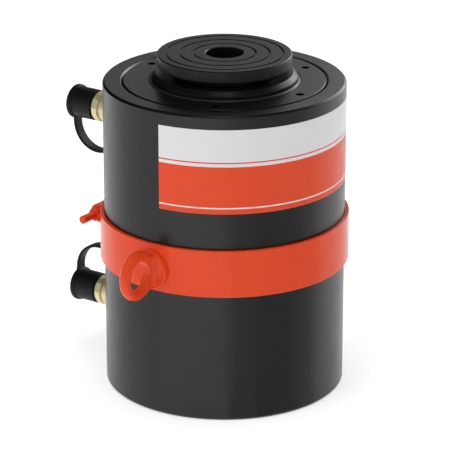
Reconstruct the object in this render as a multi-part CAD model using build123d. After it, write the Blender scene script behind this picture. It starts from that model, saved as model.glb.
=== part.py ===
from build123d import *
import math
import os

# Double-acting hydraulic cylinder of the 280-ton class, retracted.
# Millimetres. +Z is up along the cylinder's axis, and the origin is the
# centre of the base's bottom face. The couplers point to -X, the lifting
# eyes to -Y and +Y.

# Barrel
BARREL_R = 140.0
BASE_T = 50.0
BORE_R = 108.0
BORE_CORNER = 5.0
RIM_CHAMFER = 1.5
FOOT_CHAMFER = 2.5
MOUNT_PCD = 190.5
MOUNT_COUNT = 4
MOUNT_HOLE_R = 11.1
MOUNT_HOLE_DEPTH = 32.0

# Fits
RUNNING_GAP = 0.08
THREAD_GAP = 0.06
SEAT_GAP = 0.3
SEAL_GAP = 0.1

# Piston rod and stroke
ROD_ANNULUS = 24.0
ROD_STAND = 9.5
ROD_CHAMFER = 5.0
STROKE = 152.0
FLOOR_GAP = 0.3
POCKET_WALL = 19.0
POCKET_DEPTH = 32.0
SPIGOT_STEP = 18.0
SPIGOT_CHAMFER = 2.0

# Piston
PISTON_H = 64.0
PISTON_EDGE = 1.0
PISTON_SKIRT_H = 20.0
PISTON_SKIRT_STEP = 11.0
PISTON_SKIRT_SLOPE = 3.0
PISTON_NUT_STEP = 16.0
PISTON_NUT_H = 13.7
PISTON_SEAL_R = 4.5
PISTON_BACKUP_T = 2.5
WEAR_RING_H = 8.0
WEAR_RING_T = 3.0
WEAR_RING_EDGE = 4.0
SPIGOT_RING_R = 2.5
LOCK_SCREW_R = 3.0
LOCK_SCREW_L = 14.0
LOCK_SCREW_SOCKET = 3.0
LOCK_SLOTS = 4
LOCK_SLOT_R = 5.0

# Gland nut
GLAND_L = 85.2
GLAND_STEP = 8.5
GLAND_THREAD_L = 35.5
GLAND_MOUTH_CHAMFER = 3.3
GLAND_EDGE = 0.6
GLAND_LAND_L = 22.0
GLAND_SKIRT_STEP = 8.0
GLAND_SKIRT_SLOPE = 4.0
GLAND_STOP_GAP = 0.3
GLAND_BORE_GAP = 0.35
GLAND_RING_R = 3.3
GLAND_RING_RISE = 6.5
GLAND_BACKUP_T = 3.0
SPANNER_R = 4.3
SPANNER_DEPTH = 12.0
SPANNER_INSET = 12.8
SPANNER_ANGLES = (0, 60, 120, 180, 300)
BEARING_RISE = 6.0
BEARING_H = 20.0
BEARING_T = 3.3
ROD_SEAL_RISE = 3.0
ROD_SEAL_H = 12.0
ROD_SEAL_T = 8.0
ROD_BACKUP_T = 3.0
WIPER_H = 10.0
WIPER_T = 4.0
WIPER_LIP = 0.8
WIPER_LIP_W = 1.0
WIPER_SLOPE = 1.2

# Saddle and its seat
BALL_R = 85.0
BALL_GAP = 0.15
SADDLE_R = 77.4
SADDLE_LIFT = 8.1
SADDLE_RIM_T = 13.9
SADDLE_NECK_GAP = 5.0
SADDLE_BORE_R = 21.6
SADDLE_EDGE = 1.0
GROOVE_RADII = (35.7, 51.5, 67.2)
GROOVE_W = 2.2
GROOVE_FLOOR_W = 1.4
GROOVE_DEPTH = 1.6
SEAT_BORE_R = 30.0
SEAT_T = 2.8
SEAT_RIM_DROP = 1.0
SEAT_FLOOR_GAP = 0.1

# Lifting band
BAND_GAP = 0.3
BAND_T = 4.7
BAND_H = 55.4
BAND_DROP = 2.2
BAND_EDGE = 0.6
BAND_SPLIT = 16.0
LUG_TUBE_R = 11.0
LUG_STAND = 11.5
LUG_L = 31.0
LUG_WEB_H = 22.0
LUG_FOOT_H = 44.0
LUG_FOOT_T = 3.0
LUG_FOOT_TOE = 8.0
BOLT_R = 4.76
BOLT_HOLE_R = 5.2
BOLT_L = 108.5
NUT_AF = 14.3
NUT_H = 8.3
BOLT_HEAD_H = 6.2
BOLT_TIP_CHAMFER = 0.6
HEX_CORNER_SHARE = 0.9

# Lifting eyes
EYE_STAND = 25.7
EYE_DROP = 2.8
EYE_RING_R = 22.7
EYE_BAR_R = 6.3
EYE_BOSS_R = 23.0
EYE_BOSS_T = 4.5
EYE_BOSS_EDGE = 1.6
EYE_WEB_T = 11.0
EYE_WEB_EDGE = 1.0
EYE_WEB_SHARE = 0.4
WELD_GAP = 0.05

# Ports and nipples
ADVANCE_RISE = 16.0
RETRACT_RISE = 19.7
SPOT_FACE_R = 21.0
SPOT_FACE_DEPTH = 1.8
PORT_THREAD_R = 8.4
PORT_THREAD_L = 20.2
PORT_DRILL_R = 4.0
NIPPLE_STEM_GAP = 2.0
NIPPLE_STEM_EDGE = 1.0
NIPPLE_HEX_AF = 25.4
NIPPLE_HEX_L = 8.8
NIPPLE_NECK_R = 9.5
NIPPLE_NECK_L = 5.0

# Couplers, from the nipple outwards
SHOULDER_R = 18.3
SHOULDER_L = 18.5
SHOULDER_EDGE = 1.2
GROOVE_R = 16.0
COUPLER_GROOVE_W = 2.0
HEX_VERTEX_R = 19.0
HEX_CORNER_R = 18.4
HEX_TURN = 20.0
HEX_L = 10.0
NOSE_R = 14.6
NOSE_L = 24.5
NOSE_EDGE = 1.2
COUPLER_THREAD_L = 13.0
CHAMBER_R = 9.0
CHAMBER_STEP = 2.0
SEAT_DEPTH = 15.0
SEAT_L = 3.0
SEAT_HOLE_R = 6.2
SOCKET_R = 9.6
SOCKET_L = 9.0
SEAL_INSET = 6.0
SEAL_W = 2.6
SEAL_DEPTH = 1.6
SEAL_STAND = 0.4
GUIDE_T = 3.0
GUIDE_HOLE_R = 3.3
GUIDE_FLOW_R = 1.7
GUIDE_FLOW_PITCH_R = 6.1
GUIDE_FLOW_COUNT = 3
POPPET_STEM_R = 3.0
POPPET_STEM_INSET = 1.5
POPPET_DISC_R = 7.6
POPPET_DISC_T = 3.0
POPPET_DISC_INSET = 2.0
POPPET_SEAT_GAP = 0.15
POPPET_TIP_R = 3.4
POPPET_TIP_INSET = 2.5
POPPET_CONE_STEP = 1.0
POPPET_TIP_EDGE = 0.6
SPRING_R = 5.6
SPRING_WIRE_R = 0.6
SPRING_TURNS = 4

# Dust caps and their straps
CAP_MOUTH_GAP = 0.5
CAP_MOUTH_EDGE = 0.6
CAP_BORE_GAP = 0.3
CAP_WALL = 3.6
CAP_FLANGE_STEP = 2.0
CAP_FLANGE_T = 5.0
CAP_END_GAP = 2.5
CAP_END_T = 7.5
CAP_EDGE = 1.2
STRAP_W = 11.5
STRAP_T = 3.5
STRAP_TAB_T = 3.0
STRAP_TAB_ROOT = 2.0
STRAP_RING_T = 3.6
STRAP_RING_R = 17.0

# Relief valve plug at the back
RELIEF_ANGLE = 150.0
RELIEF_R = 8.0
RELIEF_L = 24.0
RELIEF_DRILL_R = 2.5
RELIEF_SOCKET_AF = 8.0
RELIEF_SOCKET_DEPTH = 7.0
RELIEF_FLANGE_R = 11.0
RELIEF_FLANGE_T = 3.0
RELIEF_EDGE = 0.8
RELIEF_SPOT_R = 14.0
RELIEF_SPOT_DEPTH = 0.8

# Drills and cutters run this far past a face
PAST = 5.0

# Heights that follow, from the base up
PISTON_NUT_BOTTOM = BASE_T + FLOOR_GAP
PISTON_BOTTOM = PISTON_NUT_BOTTOM + PISTON_NUT_H
PISTON_LAND = PISTON_BOTTOM + PISTON_SKIRT_H
PISTON_TOP = PISTON_BOTTOM + PISTON_H
PISTON_SEAL_Z = (PISTON_LAND + PISTON_TOP) / 2
GLAND_BOTTOM = PISTON_TOP + STROKE + GLAND_STOP_GAP
BARREL_H = GLAND_BOTTOM + GLAND_L
GLAND_LEDGE = BARREL_H - GLAND_THREAD_L
GLAND_LAND_START = GLAND_LEDGE - GLAND_LAND_L
GLAND_RING_Z = GLAND_LAND_START + GLAND_RING_RISE
BEARING_START = GLAND_BOTTOM + BEARING_RISE
ROD_SEAL_START = GLAND_LEDGE + ROD_SEAL_RISE
WIPER_START = BARREL_H - WIPER_H
ROD_TOP = BARREL_H + ROD_STAND
POCKET_FLOOR = ROD_TOP - POCKET_DEPTH
BALL_Z = POCKET_FLOOR + SEAT_FLOOR_GAP + SEAT_T + BALL_R
SADDLE_RIM_BOTTOM = ROD_TOP + SADDLE_LIFT
SADDLE_TOP = SADDLE_RIM_BOTTOM + SADDLE_RIM_T
ADVANCE_Z = BASE_T + ADVANCE_RISE
RETRACT_Z = GLAND_BOTTOM + RETRACT_RISE
BAND_MID = (ADVANCE_Z + RETRACT_Z) / 2 - BAND_DROP
BAND_BOTTOM = BAND_MID - BAND_H / 2
BAND_TOP = BAND_MID + BAND_H / 2
EYE_Z = BAND_MID - EYE_DROP

# Radii that follow, from the axis out
ROD_R = BORE_R - ROD_ANNULUS
SPIGOT_R = ROD_R - SPIGOT_STEP
POCKET_R = ROD_R - POCKET_WALL
SADDLE_NECK_R = POCKET_R - SADDLE_NECK_GAP
PISTON_R = BORE_R - RUNNING_GAP
PISTON_SKIRT_R = BORE_R - PISTON_SKIRT_STEP
PISTON_NUT_R = BORE_R - PISTON_NUT_STEP
GLAND_BORE_R = ROD_R + GLAND_BORE_GAP
GLAND_SKIRT_R = BORE_R - GLAND_SKIRT_STEP
GLAND_THREAD_R = BORE_R + GLAND_STEP
GLAND_GROOVE_R = BORE_R - 2 * GLAND_RING_R - SEAL_GAP
GLAND_GROOVE_LOW = GLAND_RING_Z - GLAND_RING_R - SEAL_GAP
GLAND_GROOVE_HIGH = GLAND_RING_Z + GLAND_RING_R + GLAND_BACKUP_T + SEAL_GAP
SPANNER_PITCH_R = GLAND_THREAD_R - SPANNER_INSET
BAND_INNER_R = BARREL_R + BAND_GAP
BAND_R = BAND_INNER_R + BAND_T
LUG_REACH = BAND_R + LUG_STAND
LUG_OUTER = BAND_SPLIT / 2 + LUG_L
BOLT_TAIL = BOLT_L - LUG_OUTER
EYE_REACH = BAND_R + EYE_STAND
CAP_BORE_R = NOSE_R + CAP_BORE_GAP
CAP_R = CAP_BORE_R + CAP_WALL
CAP_FLANGE_R = CAP_R + CAP_FLANGE_STEP
STRAP_TAB_R = CAP_FLANGE_R + STRAP_TAB_T

# Reaches that follow: distances from the cylinder's axis along a coupler
SPOT_FACE_REACH = BARREL_R - SPOT_FACE_DEPTH
PORT_THREAD_END = SPOT_FACE_REACH - PORT_THREAD_L
NIPPLE_HEX_END = SPOT_FACE_REACH + NIPPLE_HEX_L
COUPLER_BASE = NIPPLE_HEX_END + NIPPLE_NECK_L
COUPLER_THREAD_END = COUPLER_BASE + COUPLER_THREAD_L
GROOVE_START = COUPLER_BASE + SHOULDER_L
HEX_START = GROOVE_START + COUPLER_GROOVE_W
HEX_END = HEX_START + HEX_L
NOSE_END = HEX_END + NOSE_L
SOCKET_START = NOSE_END - SOCKET_L
SEAL_START = NOSE_END - SEAL_INSET
SEAT_START = NOSE_END - SEAT_DEPTH
SEAT_END = SEAT_START + SEAT_L
GUIDE_START = COUPLER_THREAD_END + CHAMBER_STEP
POPPET_STEM_END = GUIDE_START + POPPET_STEM_INSET
POPPET_DISC_END = SEAT_START - POPPET_DISC_INSET
POPPET_BACK = POPPET_DISC_END - POPPET_DISC_T
POPPET_TIP_END = NOSE_END - POPPET_TIP_INSET
CAP_MOUTH = HEX_END + CAP_MOUTH_GAP
CAP_BORE_END = NOSE_END + CAP_END_GAP
CAP_END = CAP_BORE_END + CAP_END_T
CAP_FLANGE_START = CAP_END - CAP_FLANGE_T
STRAP_CAP_REACH = CAP_END - CAP_FLANGE_T / 2
STRAP_RING_REACH = (NIPPLE_HEX_END + COUPLER_BASE) / 2
RELIEF_SPOT_REACH = BARREL_R - RELIEF_SPOT_DEPTH


def ball_height(radius, ball_r):
    """Height of the saddle's ball, or of its seat, at a radius from the axis."""
    return BALL_Z - math.sqrt(ball_r ** 2 - radius ** 2)


def turned(points):
    """A solid turned about Z from its half section's (radius, height) corners."""
    corners = [(r, 0, z) for r, z in points]
    return revolve(make_face(Polyline(*corners, close=True)), axis=Axis.Z)


def tube(outer_r, inner_r, low, high):
    """A plain ring about Z."""
    return turned([(inner_r, low), (outer_r, low), (outer_r, high), (inner_r, high)])


def rod_at(radius, low, high, x=0.0, y=0.0):
    """A round bar along Z, or the drill that makes such a hole."""
    bar = Cylinder(radius, high - low, align=(Align.CENTER, Align.CENTER, Align.MIN))
    return Pos(x, y, low) * bar


def on_circle(radius, angles):
    """Centres at the given angles, in degrees, on a circle about the axis."""
    return [(radius * math.cos(math.radians(a)), radius * math.sin(math.radians(a))) for a in angles]


def outward(solid, height, turn=180.0):
    """Turns a piece that was made along Z to point away from the axis at a height."""
    return Pos(0, 0, height) * Rot(0, 0, turn) * Rot(0, 90, 0) * solid


def hex_bar(across_vertices_r, low, high, turn=0.0, corner_r=None):
    """A hexagon bar along Z, its corners turned off at both ends."""
    bar = Pos(0, 0, low) * extrude(RegularPolygon(across_vertices_r, 6, rotation=turn), high - low)
    if corner_r is None:
        return bar
    slope = (across_vertices_r - corner_r) * math.tan(math.radians(30))
    return bar & turned([(0, low), (corner_r, low), (across_vertices_r, low + slope),
                         (across_vertices_r, high - slope), (corner_r, high), (0, high)])


def vertex_r(across_flats):
    """Radius at a hexagon's corners from its size across flats."""
    return across_flats / math.sqrt(3)


def cylinder_body():
    c = BORE_CORNER
    barrel = turned([
        (0, 0), (BARREL_R - FOOT_CHAMFER, 0), (BARREL_R, FOOT_CHAMFER),
        (BARREL_R, BARREL_H - RIM_CHAMFER), (BARREL_R - RIM_CHAMFER, BARREL_H),
        (GLAND_THREAD_R + GLAND_MOUTH_CHAMFER, BARREL_H),
        (GLAND_THREAD_R, BARREL_H - GLAND_MOUTH_CHAMFER),
        (GLAND_THREAD_R, GLAND_LEDGE), (BORE_R, GLAND_LEDGE),
        (BORE_R, BASE_T + c), (BORE_R - c, BASE_T), (0, BASE_T)])
    for x, y in on_circle(MOUNT_PCD / 2, [45 + i * 360 / MOUNT_COUNT for i in range(MOUNT_COUNT)]):
        barrel -= rod_at(MOUNT_HOLE_R, 0, MOUNT_HOLE_DEPTH, x, y)
    for height in (ADVANCE_Z, RETRACT_Z):
        barrel -= outward(rod_at(SPOT_FACE_R, SPOT_FACE_REACH, BARREL_R + PAST), height)
        barrel -= outward(rod_at(PORT_THREAD_R, PORT_THREAD_END, BARREL_R), height)
        barrel -= outward(rod_at(PORT_DRILL_R, BORE_R - PAST, BARREL_R), height)
    plug_end = RELIEF_SPOT_REACH - RELIEF_L
    for radius, start in ((RELIEF_SPOT_R, RELIEF_SPOT_REACH), (RELIEF_R, plug_end), (RELIEF_DRILL_R, BORE_R - PAST)):
        barrel -= outward(rod_at(radius, start, BARREL_R + PAST), RETRACT_Z, RELIEF_ANGLE)
    return barrel


def gland_nut():
    land_r = BORE_R - RUNNING_GAP
    thread_r = GLAND_THREAD_R - THREAD_GAP
    seal_top = ROD_SEAL_START + ROD_SEAL_H + ROD_BACKUP_T
    ring = turned([
        (GLAND_BORE_R, GLAND_BOTTOM), (GLAND_SKIRT_R, GLAND_BOTTOM),
        (GLAND_SKIRT_R, GLAND_LAND_START - GLAND_SKIRT_SLOPE), (land_r, GLAND_LAND_START),
        (land_r, GLAND_LEDGE), (thread_r, GLAND_LEDGE),
        (thread_r, BARREL_H - GLAND_EDGE), (thread_r - GLAND_EDGE, BARREL_H),
        (GLAND_BORE_R, BARREL_H)])
    ring -= tube(land_r + 1, GLAND_GROOVE_R, GLAND_GROOVE_LOW, GLAND_GROOVE_HIGH)
    ring -= tube(ROD_R + BEARING_T, ROD_R, BEARING_START, BEARING_START + BEARING_H)
    ring -= tube(ROD_R + ROD_SEAL_T, ROD_R, ROD_SEAL_START, seal_top)
    ring -= tube(ROD_R + WIPER_T, ROD_R, WIPER_START, BARREL_H)
    for x, y in on_circle(SPANNER_PITCH_R, SPANNER_ANGLES):
        ring -= rod_at(SPANNER_R, BARREL_H - SPANNER_DEPTH, BARREL_H, x, y)
    return ring


def gland_o_ring():
    ring = Torus(BORE_R - GLAND_RING_R - SEAL_GAP / 2, GLAND_RING_R - SEAL_GAP / 2)
    return Pos(0, 0, GLAND_RING_Z) * ring


def gland_backup_ring():
    low = GLAND_GROOVE_HIGH - GLAND_BACKUP_T
    return tube(BORE_R - SEAL_GAP, GLAND_GROOVE_R + SEAL_GAP, low, GLAND_GROOVE_HIGH)


def rod_bearing():
    low = BEARING_START
    return tube(ROD_R + BEARING_T - THREAD_GAP, ROD_R + RUNNING_GAP, low, low + BEARING_H)


def rod_seal():
    """A lip seal: its open side looks down at the oil."""
    inner = ROD_R + RUNNING_GAP
    outer = ROD_R + ROD_SEAL_T - THREAD_GAP
    low = ROD_SEAL_START
    lip = ROD_SEAL_T / 6
    return turned([
        (inner, low), (inner + lip, low), ((inner + outer) / 2, low + ROD_SEAL_H / 2), (outer - lip, low),
        (outer, low), (outer, low + ROD_SEAL_H), (inner, low + ROD_SEAL_H)])


def rod_backup_ring():
    low = ROD_SEAL_START + ROD_SEAL_H
    return tube(ROD_R + ROD_SEAL_T - THREAD_GAP, ROD_R + RUNNING_GAP, low, low + ROD_BACKUP_T)


def rod_wiper():
    """A scraper ring: its lip stands a little above the gland nut."""
    inner = ROD_R + RUNNING_GAP
    outer = ROD_R + WIPER_T - THREAD_GAP
    shoulder = BARREL_H - WIPER_LIP
    return turned([
        (inner, WIPER_START), (outer, WIPER_START), (outer, shoulder), (outer - WIPER_SLOPE, shoulder),
        (inner + WIPER_LIP_W, BARREL_H + WIPER_LIP), (inner, BARREL_H + WIPER_LIP)])


def piston_rod():
    low = PISTON_NUT_BOTTOM
    c = SPIGOT_CHAMFER
    bar = turned([
        (0, low), (SPIGOT_R - c, low), (SPIGOT_R, low + c),
        (SPIGOT_R, PISTON_TOP), (ROD_R, PISTON_TOP),
        (ROD_R, ROD_TOP - ROD_CHAMFER), (ROD_R - ROD_CHAMFER, ROD_TOP),
        (POCKET_R, ROD_TOP), (POCKET_R, POCKET_FLOOR), (0, POCKET_FLOOR)])
    groove_r = SPIGOT_R - 2 * SPIGOT_RING_R + SEAL_GAP
    half = SPIGOT_RING_R + SEAL_GAP
    return bar - tube(SPIGOT_R + 1, groove_r, PISTON_SEAL_Z - half, PISTON_SEAL_Z + half)


def wear_ring_lows():
    """Lower edges of the two wear rings on the piston's land."""
    return (PISTON_LAND + WEAR_RING_EDGE, PISTON_TOP - WEAR_RING_EDGE - WEAR_RING_H)


def piston_head():
    inner = SPIGOT_R + RUNNING_GAP
    s = PISTON_SKIRT_SLOPE
    e = PISTON_EDGE
    head = turned([
        (inner, PISTON_BOTTOM), (PISTON_SKIRT_R, PISTON_BOTTOM), (PISTON_SKIRT_R, PISTON_LAND - s),
        (PISTON_SKIRT_R + s, PISTON_LAND), (PISTON_R - e, PISTON_LAND), (PISTON_R, PISTON_LAND + e),
        (PISTON_R, PISTON_TOP - e), (PISTON_R - e, PISTON_TOP), (inner, PISTON_TOP)])
    half = PISTON_SEAL_R + PISTON_BACKUP_T
    head -= tube(BORE_R, BORE_R - 2 * PISTON_SEAL_R - SEAL_GAP, PISTON_SEAL_Z - half, PISTON_SEAL_Z + half)
    for low in wear_ring_lows():
        head -= tube(BORE_R, BORE_R - WEAR_RING_T, low, low + WEAR_RING_H)
    return head


def piston_seal():
    return Pos(0, 0, PISTON_SEAL_Z) * Torus(BORE_R - PISTON_SEAL_R - SEAL_GAP / 2, PISTON_SEAL_R - SEAL_GAP)


def piston_backup_rings():
    inner = BORE_R - 2 * PISTON_SEAL_R
    low = PISTON_SEAL_Z - PISTON_SEAL_R - PISTON_BACKUP_T
    high = PISTON_SEAL_Z + PISTON_SEAL_R
    return [tube(BORE_R - SEAL_GAP, inner, z, z + PISTON_BACKUP_T) for z in (low, high)]


def piston_wear_rings():
    inner = BORE_R - WEAR_RING_T + THREAD_GAP
    return [tube(BORE_R - RUNNING_GAP, inner, low, low + WEAR_RING_H) for low in wear_ring_lows()]


def piston_o_ring():
    """The static seal between the rod's spigot and the piston."""
    ring = Torus(SPIGOT_R - SPIGOT_RING_R + SEAL_GAP / 2, SPIGOT_RING_R - SEAL_GAP / 2)
    return Pos(0, 0, PISTON_SEAL_Z) * ring


def piston_nut():
    """A round nut below the piston, with slots for a hook spanner."""
    low = PISTON_NUT_BOTTOM
    nut = tube(PISTON_NUT_R, SPIGOT_R + THREAD_GAP, low, PISTON_BOTTOM)
    for x, y in on_circle(PISTON_NUT_R, [45 + i * 360 / LOCK_SLOTS for i in range(LOCK_SLOTS)]):
        nut -= rod_at(LOCK_SLOT_R, low, PISTON_BOTTOM, x, y)
    middle = (low + PISTON_BOTTOM) / 2
    return nut - outward(rod_at(LOCK_SCREW_R + THREAD_GAP, SPIGOT_R - 1, PISTON_NUT_R + 1), middle, 0)


def piston_nut_screw():
    """The grub screw that locks the piston's nut to the rod."""
    start = SPIGOT_R + THREAD_GAP
    end = start + LOCK_SCREW_L
    screw = rod_at(LOCK_SCREW_R, start, end)
    screw -= hex_bar(vertex_r(LOCK_SCREW_R), end - LOCK_SCREW_SOCKET, end)
    return outward(screw, (PISTON_NUT_BOTTOM + PISTON_BOTTOM) / 2, 0)


def saddle_seat():
    """The hardened ring in the rod's end, ground hollow to the saddle's ball."""
    low = POCKET_FLOOR + SEAT_FLOOR_GAP
    ring = tube(POCKET_R - SEAT_GAP, SEAT_BORE_R, low, ROD_TOP - SEAT_RIM_DROP)
    return ring - Pos(0, 0, BALL_Z) * Sphere(BALL_R + BALL_GAP)


def saddle():
    """The load disc: rim, neck and ball end, with grip grooves round its bore."""
    neck_low = ball_height(SADDLE_NECK_R, BALL_R)
    blank_low = ball_height(SADDLE_BORE_R, BALL_R) - 1
    e = SADDLE_EDGE
    disc = turned([
        (SADDLE_BORE_R, blank_low), (SADDLE_NECK_R, blank_low), (SADDLE_NECK_R, SADDLE_RIM_BOTTOM),
        (SADDLE_R - e, SADDLE_RIM_BOTTOM), (SADDLE_R, SADDLE_RIM_BOTTOM + e),
        (SADDLE_R, SADDLE_TOP - e), (SADDLE_R - e, SADDLE_TOP),
        (SADDLE_BORE_R + e, SADDLE_TOP), (SADDLE_BORE_R, SADDLE_TOP - e)])
    rim = rod_at(SADDLE_R, neck_low + 1, SADDLE_TOP)
    disc = disc & (Pos(0, 0, BALL_Z) * Sphere(BALL_R) + rim)
    half = GROOVE_W / 2
    floor_half = GROOVE_FLOOR_W / 2
    floor = SADDLE_TOP - GROOVE_DEPTH
    for radius in GROOVE_RADII:
        disc -= turned([
            (radius - half, SADDLE_TOP + 1), (radius - half, SADDLE_TOP), (radius - floor_half, floor),
            (radius + floor_half, floor), (radius + half, SADDLE_TOP), (radius + half, SADDLE_TOP + 1)])
    return disc


def lug(side):
    """One clamp lug: a tube along Y on a web that is welded to the band."""
    middle = side * (BAND_SPLIT + LUG_L) / 2
    inside = BARREL_R - 2 * PAST
    toe = BAND_R + LUG_FOOT_T
    rise = toe + LUG_FOOT_TOE
    web = Box(LUG_REACH - inside, LUG_L, LUG_WEB_H, align=(Align.MAX, Align.CENTER, Align.CENTER))
    foot_half = LUG_FOOT_H / 2
    web_half = LUG_WEB_H / 2
    foot = make_face(Polyline(
        (-inside, -foot_half), (-toe, -foot_half), (-rise, -web_half), (-rise, web_half),
        (-toe, foot_half), (-inside, foot_half), close=True))
    gusset = extrude(Plane.XZ * foot, LUG_L / 2, both=True)
    pipe = Pos(-LUG_REACH, middle, BAND_MID) * Rot(90, 0, 0) * Cylinder(LUG_TUBE_R, LUG_L)
    return Pos(-inside, middle, BAND_MID) * web + Pos(0, middle, BAND_MID) * gusset + pipe


def lifting_band():
    c = BAND_EDGE
    ring = turned([
        (BAND_INNER_R, BAND_BOTTOM), (BAND_R - c, BAND_BOTTOM), (BAND_R, BAND_BOTTOM + c),
        (BAND_R, BAND_TOP - c), (BAND_R - c, BAND_TOP), (BAND_INNER_R, BAND_TOP)])
    band = ring + lug(-1) + lug(1)
    band -= rod_at(BAND_INNER_R, BAND_BOTTOM - 1, BAND_TOP + 1)
    split = Box(LUG_REACH, BAND_SPLIT, BAND_H + 2, align=(Align.MAX, Align.CENTER, Align.CENTER))
    band -= Pos(-BAND_INNER_R + 2 * PAST, 0, BAND_MID) * split
    return band - Pos(-LUG_REACH, 0, BAND_MID) * Rot(90, 0, 0) * Cylinder(BOLT_HOLE_R, 3 * LUG_OUTER)


def across_lugs(solid):
    """Turns a piece that was made along Z to lie along -Y on the band bolt's axis."""
    return Pos(-LUG_REACH, 0, BAND_MID) * Rot(90, 0, 0) * solid


def band_bolt():
    c = BOLT_TIP_CHAMFER
    corner = vertex_r(NUT_AF)
    shank = turned([
        (0, -LUG_OUTER), (BOLT_R, -LUG_OUTER), (BOLT_R, BOLT_TAIL - c), (BOLT_R - c, BOLT_TAIL), (0, BOLT_TAIL)])
    head = hex_bar(corner, -LUG_OUTER - BOLT_HEAD_H, -LUG_OUTER, 0, corner * HEX_CORNER_SHARE)
    return across_lugs(shank + head)


def band_nut():
    corner = vertex_r(NUT_AF)
    nut = hex_bar(corner, LUG_OUTER, LUG_OUTER + NUT_H, 0, corner * HEX_CORNER_SHARE)
    return across_lugs(nut - rod_at(BOLT_R + THREAD_GAP, LUG_OUTER - 1, LUG_OUTER + NUT_H + 1))


def lifting_eye(side):
    """A forged ring on a round boss whose back follows the band, with a web between them."""
    face = BAND_R + EYE_BOSS_T
    e = EYE_BOSS_EDGE
    boss = turned([(0, BARREL_R), (EYE_BOSS_R, BARREL_R), (EYE_BOSS_R, face - e), (EYE_BOSS_R - e, face), (0, face)])
    across = Pos(0, 0, EYE_REACH) * Rot(0, 90, 0)
    ring = across * Torus(EYE_RING_R, EYE_BAR_R)
    outer = EYE_RING_R + EYE_BAR_R
    web = across * Cylinder(outer - EYE_WEB_EDGE, EYE_WEB_T)
    web = web & rod_at(outer, BARREL_R, EYE_REACH - EYE_WEB_SHARE * outer)
    window = across * Cylinder(EYE_RING_R - EYE_BAR_R, 2 * EYE_BOSS_R)
    eye = outward_y((boss + web - window) + ring, side)
    return eye - rod_at(BAND_R + WELD_GAP, BAND_BOTTOM, BAND_TOP)


def outward_y(solid, side):
    """Turns a piece that was made along Z to point along Y, to the front or the back."""
    return Pos(0, 0, EYE_Z) * Rot(-90 * side, 0, 0) * solid


def nipple(height):
    """The hexagon nipple between the barrel's port and its coupler."""
    c = NIPPLE_STEM_EDGE
    stem = PORT_THREAD_R - THREAD_GAP
    start = PORT_THREAD_END + NIPPLE_STEM_GAP
    body = turned([
        (PORT_DRILL_R, start), (stem - c, start), (stem, start + c),
        (stem, SPOT_FACE_REACH), (NIPPLE_NECK_R, SPOT_FACE_REACH), (NIPPLE_NECK_R, COUPLER_BASE),
        (stem, COUPLER_BASE), (stem, COUPLER_THREAD_END - c), (stem - c, COUPLER_THREAD_END),
        (PORT_DRILL_R, COUPLER_THREAD_END)])
    corner = vertex_r(NIPPLE_HEX_AF)
    hexagon = hex_bar(corner, SPOT_FACE_REACH, NIPPLE_HEX_END, 0, corner * HEX_CORNER_SHARE)
    hexagon -= rod_at(PORT_DRILL_R, SPOT_FACE_REACH - 1, NIPPLE_HEX_END + 1)
    return outward(body + hexagon, height)


def coupler_body(height):
    """The brass half: shoulder, groove, hexagon and nose, bored for the poppet."""
    c = SHOULDER_EDGE
    e = NOSE_EDGE
    low = COUPLER_BASE
    outline = turned([
        (0, low), (SHOULDER_R - c, low), (SHOULDER_R, low + c),
        (SHOULDER_R, GROOVE_START - c), (SHOULDER_R - c, GROOVE_START),
        (GROOVE_R, GROOVE_START), (GROOVE_R, HEX_START + 1), (NOSE_R, HEX_START + 1),
        (NOSE_R, NOSE_END - e), (NOSE_R - e, NOSE_END), (0, NOSE_END)])
    corner_at = 180 - HEX_TURN
    body = outline + hex_bar(HEX_VERTEX_R, HEX_START, HEX_END, corner_at, HEX_CORNER_R)
    body -= turned([
        (0, low - 1), (PORT_THREAD_R, low - 1), (PORT_THREAD_R, COUPLER_THREAD_END),
        (CHAMBER_R, GUIDE_START), (CHAMBER_R, SEAT_START), (SEAT_HOLE_R, SEAT_END),
        (SEAT_HOLE_R, SOCKET_START), (SOCKET_R, SOCKET_START), (SOCKET_R, NOSE_END + 1), (0, NOSE_END + 1)])
    body -= tube(SOCKET_R + SEAL_DEPTH, SOCKET_R - SEAL_GAP, SEAL_START, SEAL_START + SEAL_W)
    return outward(body, height)


def front_seal(height):
    """The seal in the coupler's socket that the mating half presses on."""
    low = SEAL_START + THREAD_GAP
    high = SEAL_START + SEAL_W - THREAD_GAP
    return outward(tube(SOCKET_R + SEAL_DEPTH - THREAD_GAP, SOCKET_R - SEAL_STAND, low, high), height)


def spring_guide(height):
    """The pierced disc that guides the poppet's stem and carries its spring."""
    disc = tube(CHAMBER_R - THREAD_GAP, GUIDE_HOLE_R, GUIDE_START, GUIDE_START + GUIDE_T)
    for x, y in on_circle(GUIDE_FLOW_PITCH_R, [i * 360 / GUIDE_FLOW_COUNT for i in range(GUIDE_FLOW_COUNT)]):
        disc -= rod_at(GUIDE_FLOW_R, GUIDE_START - 1, GUIDE_START + GUIDE_T + 1, x, y)
    return outward(disc, height)


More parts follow.
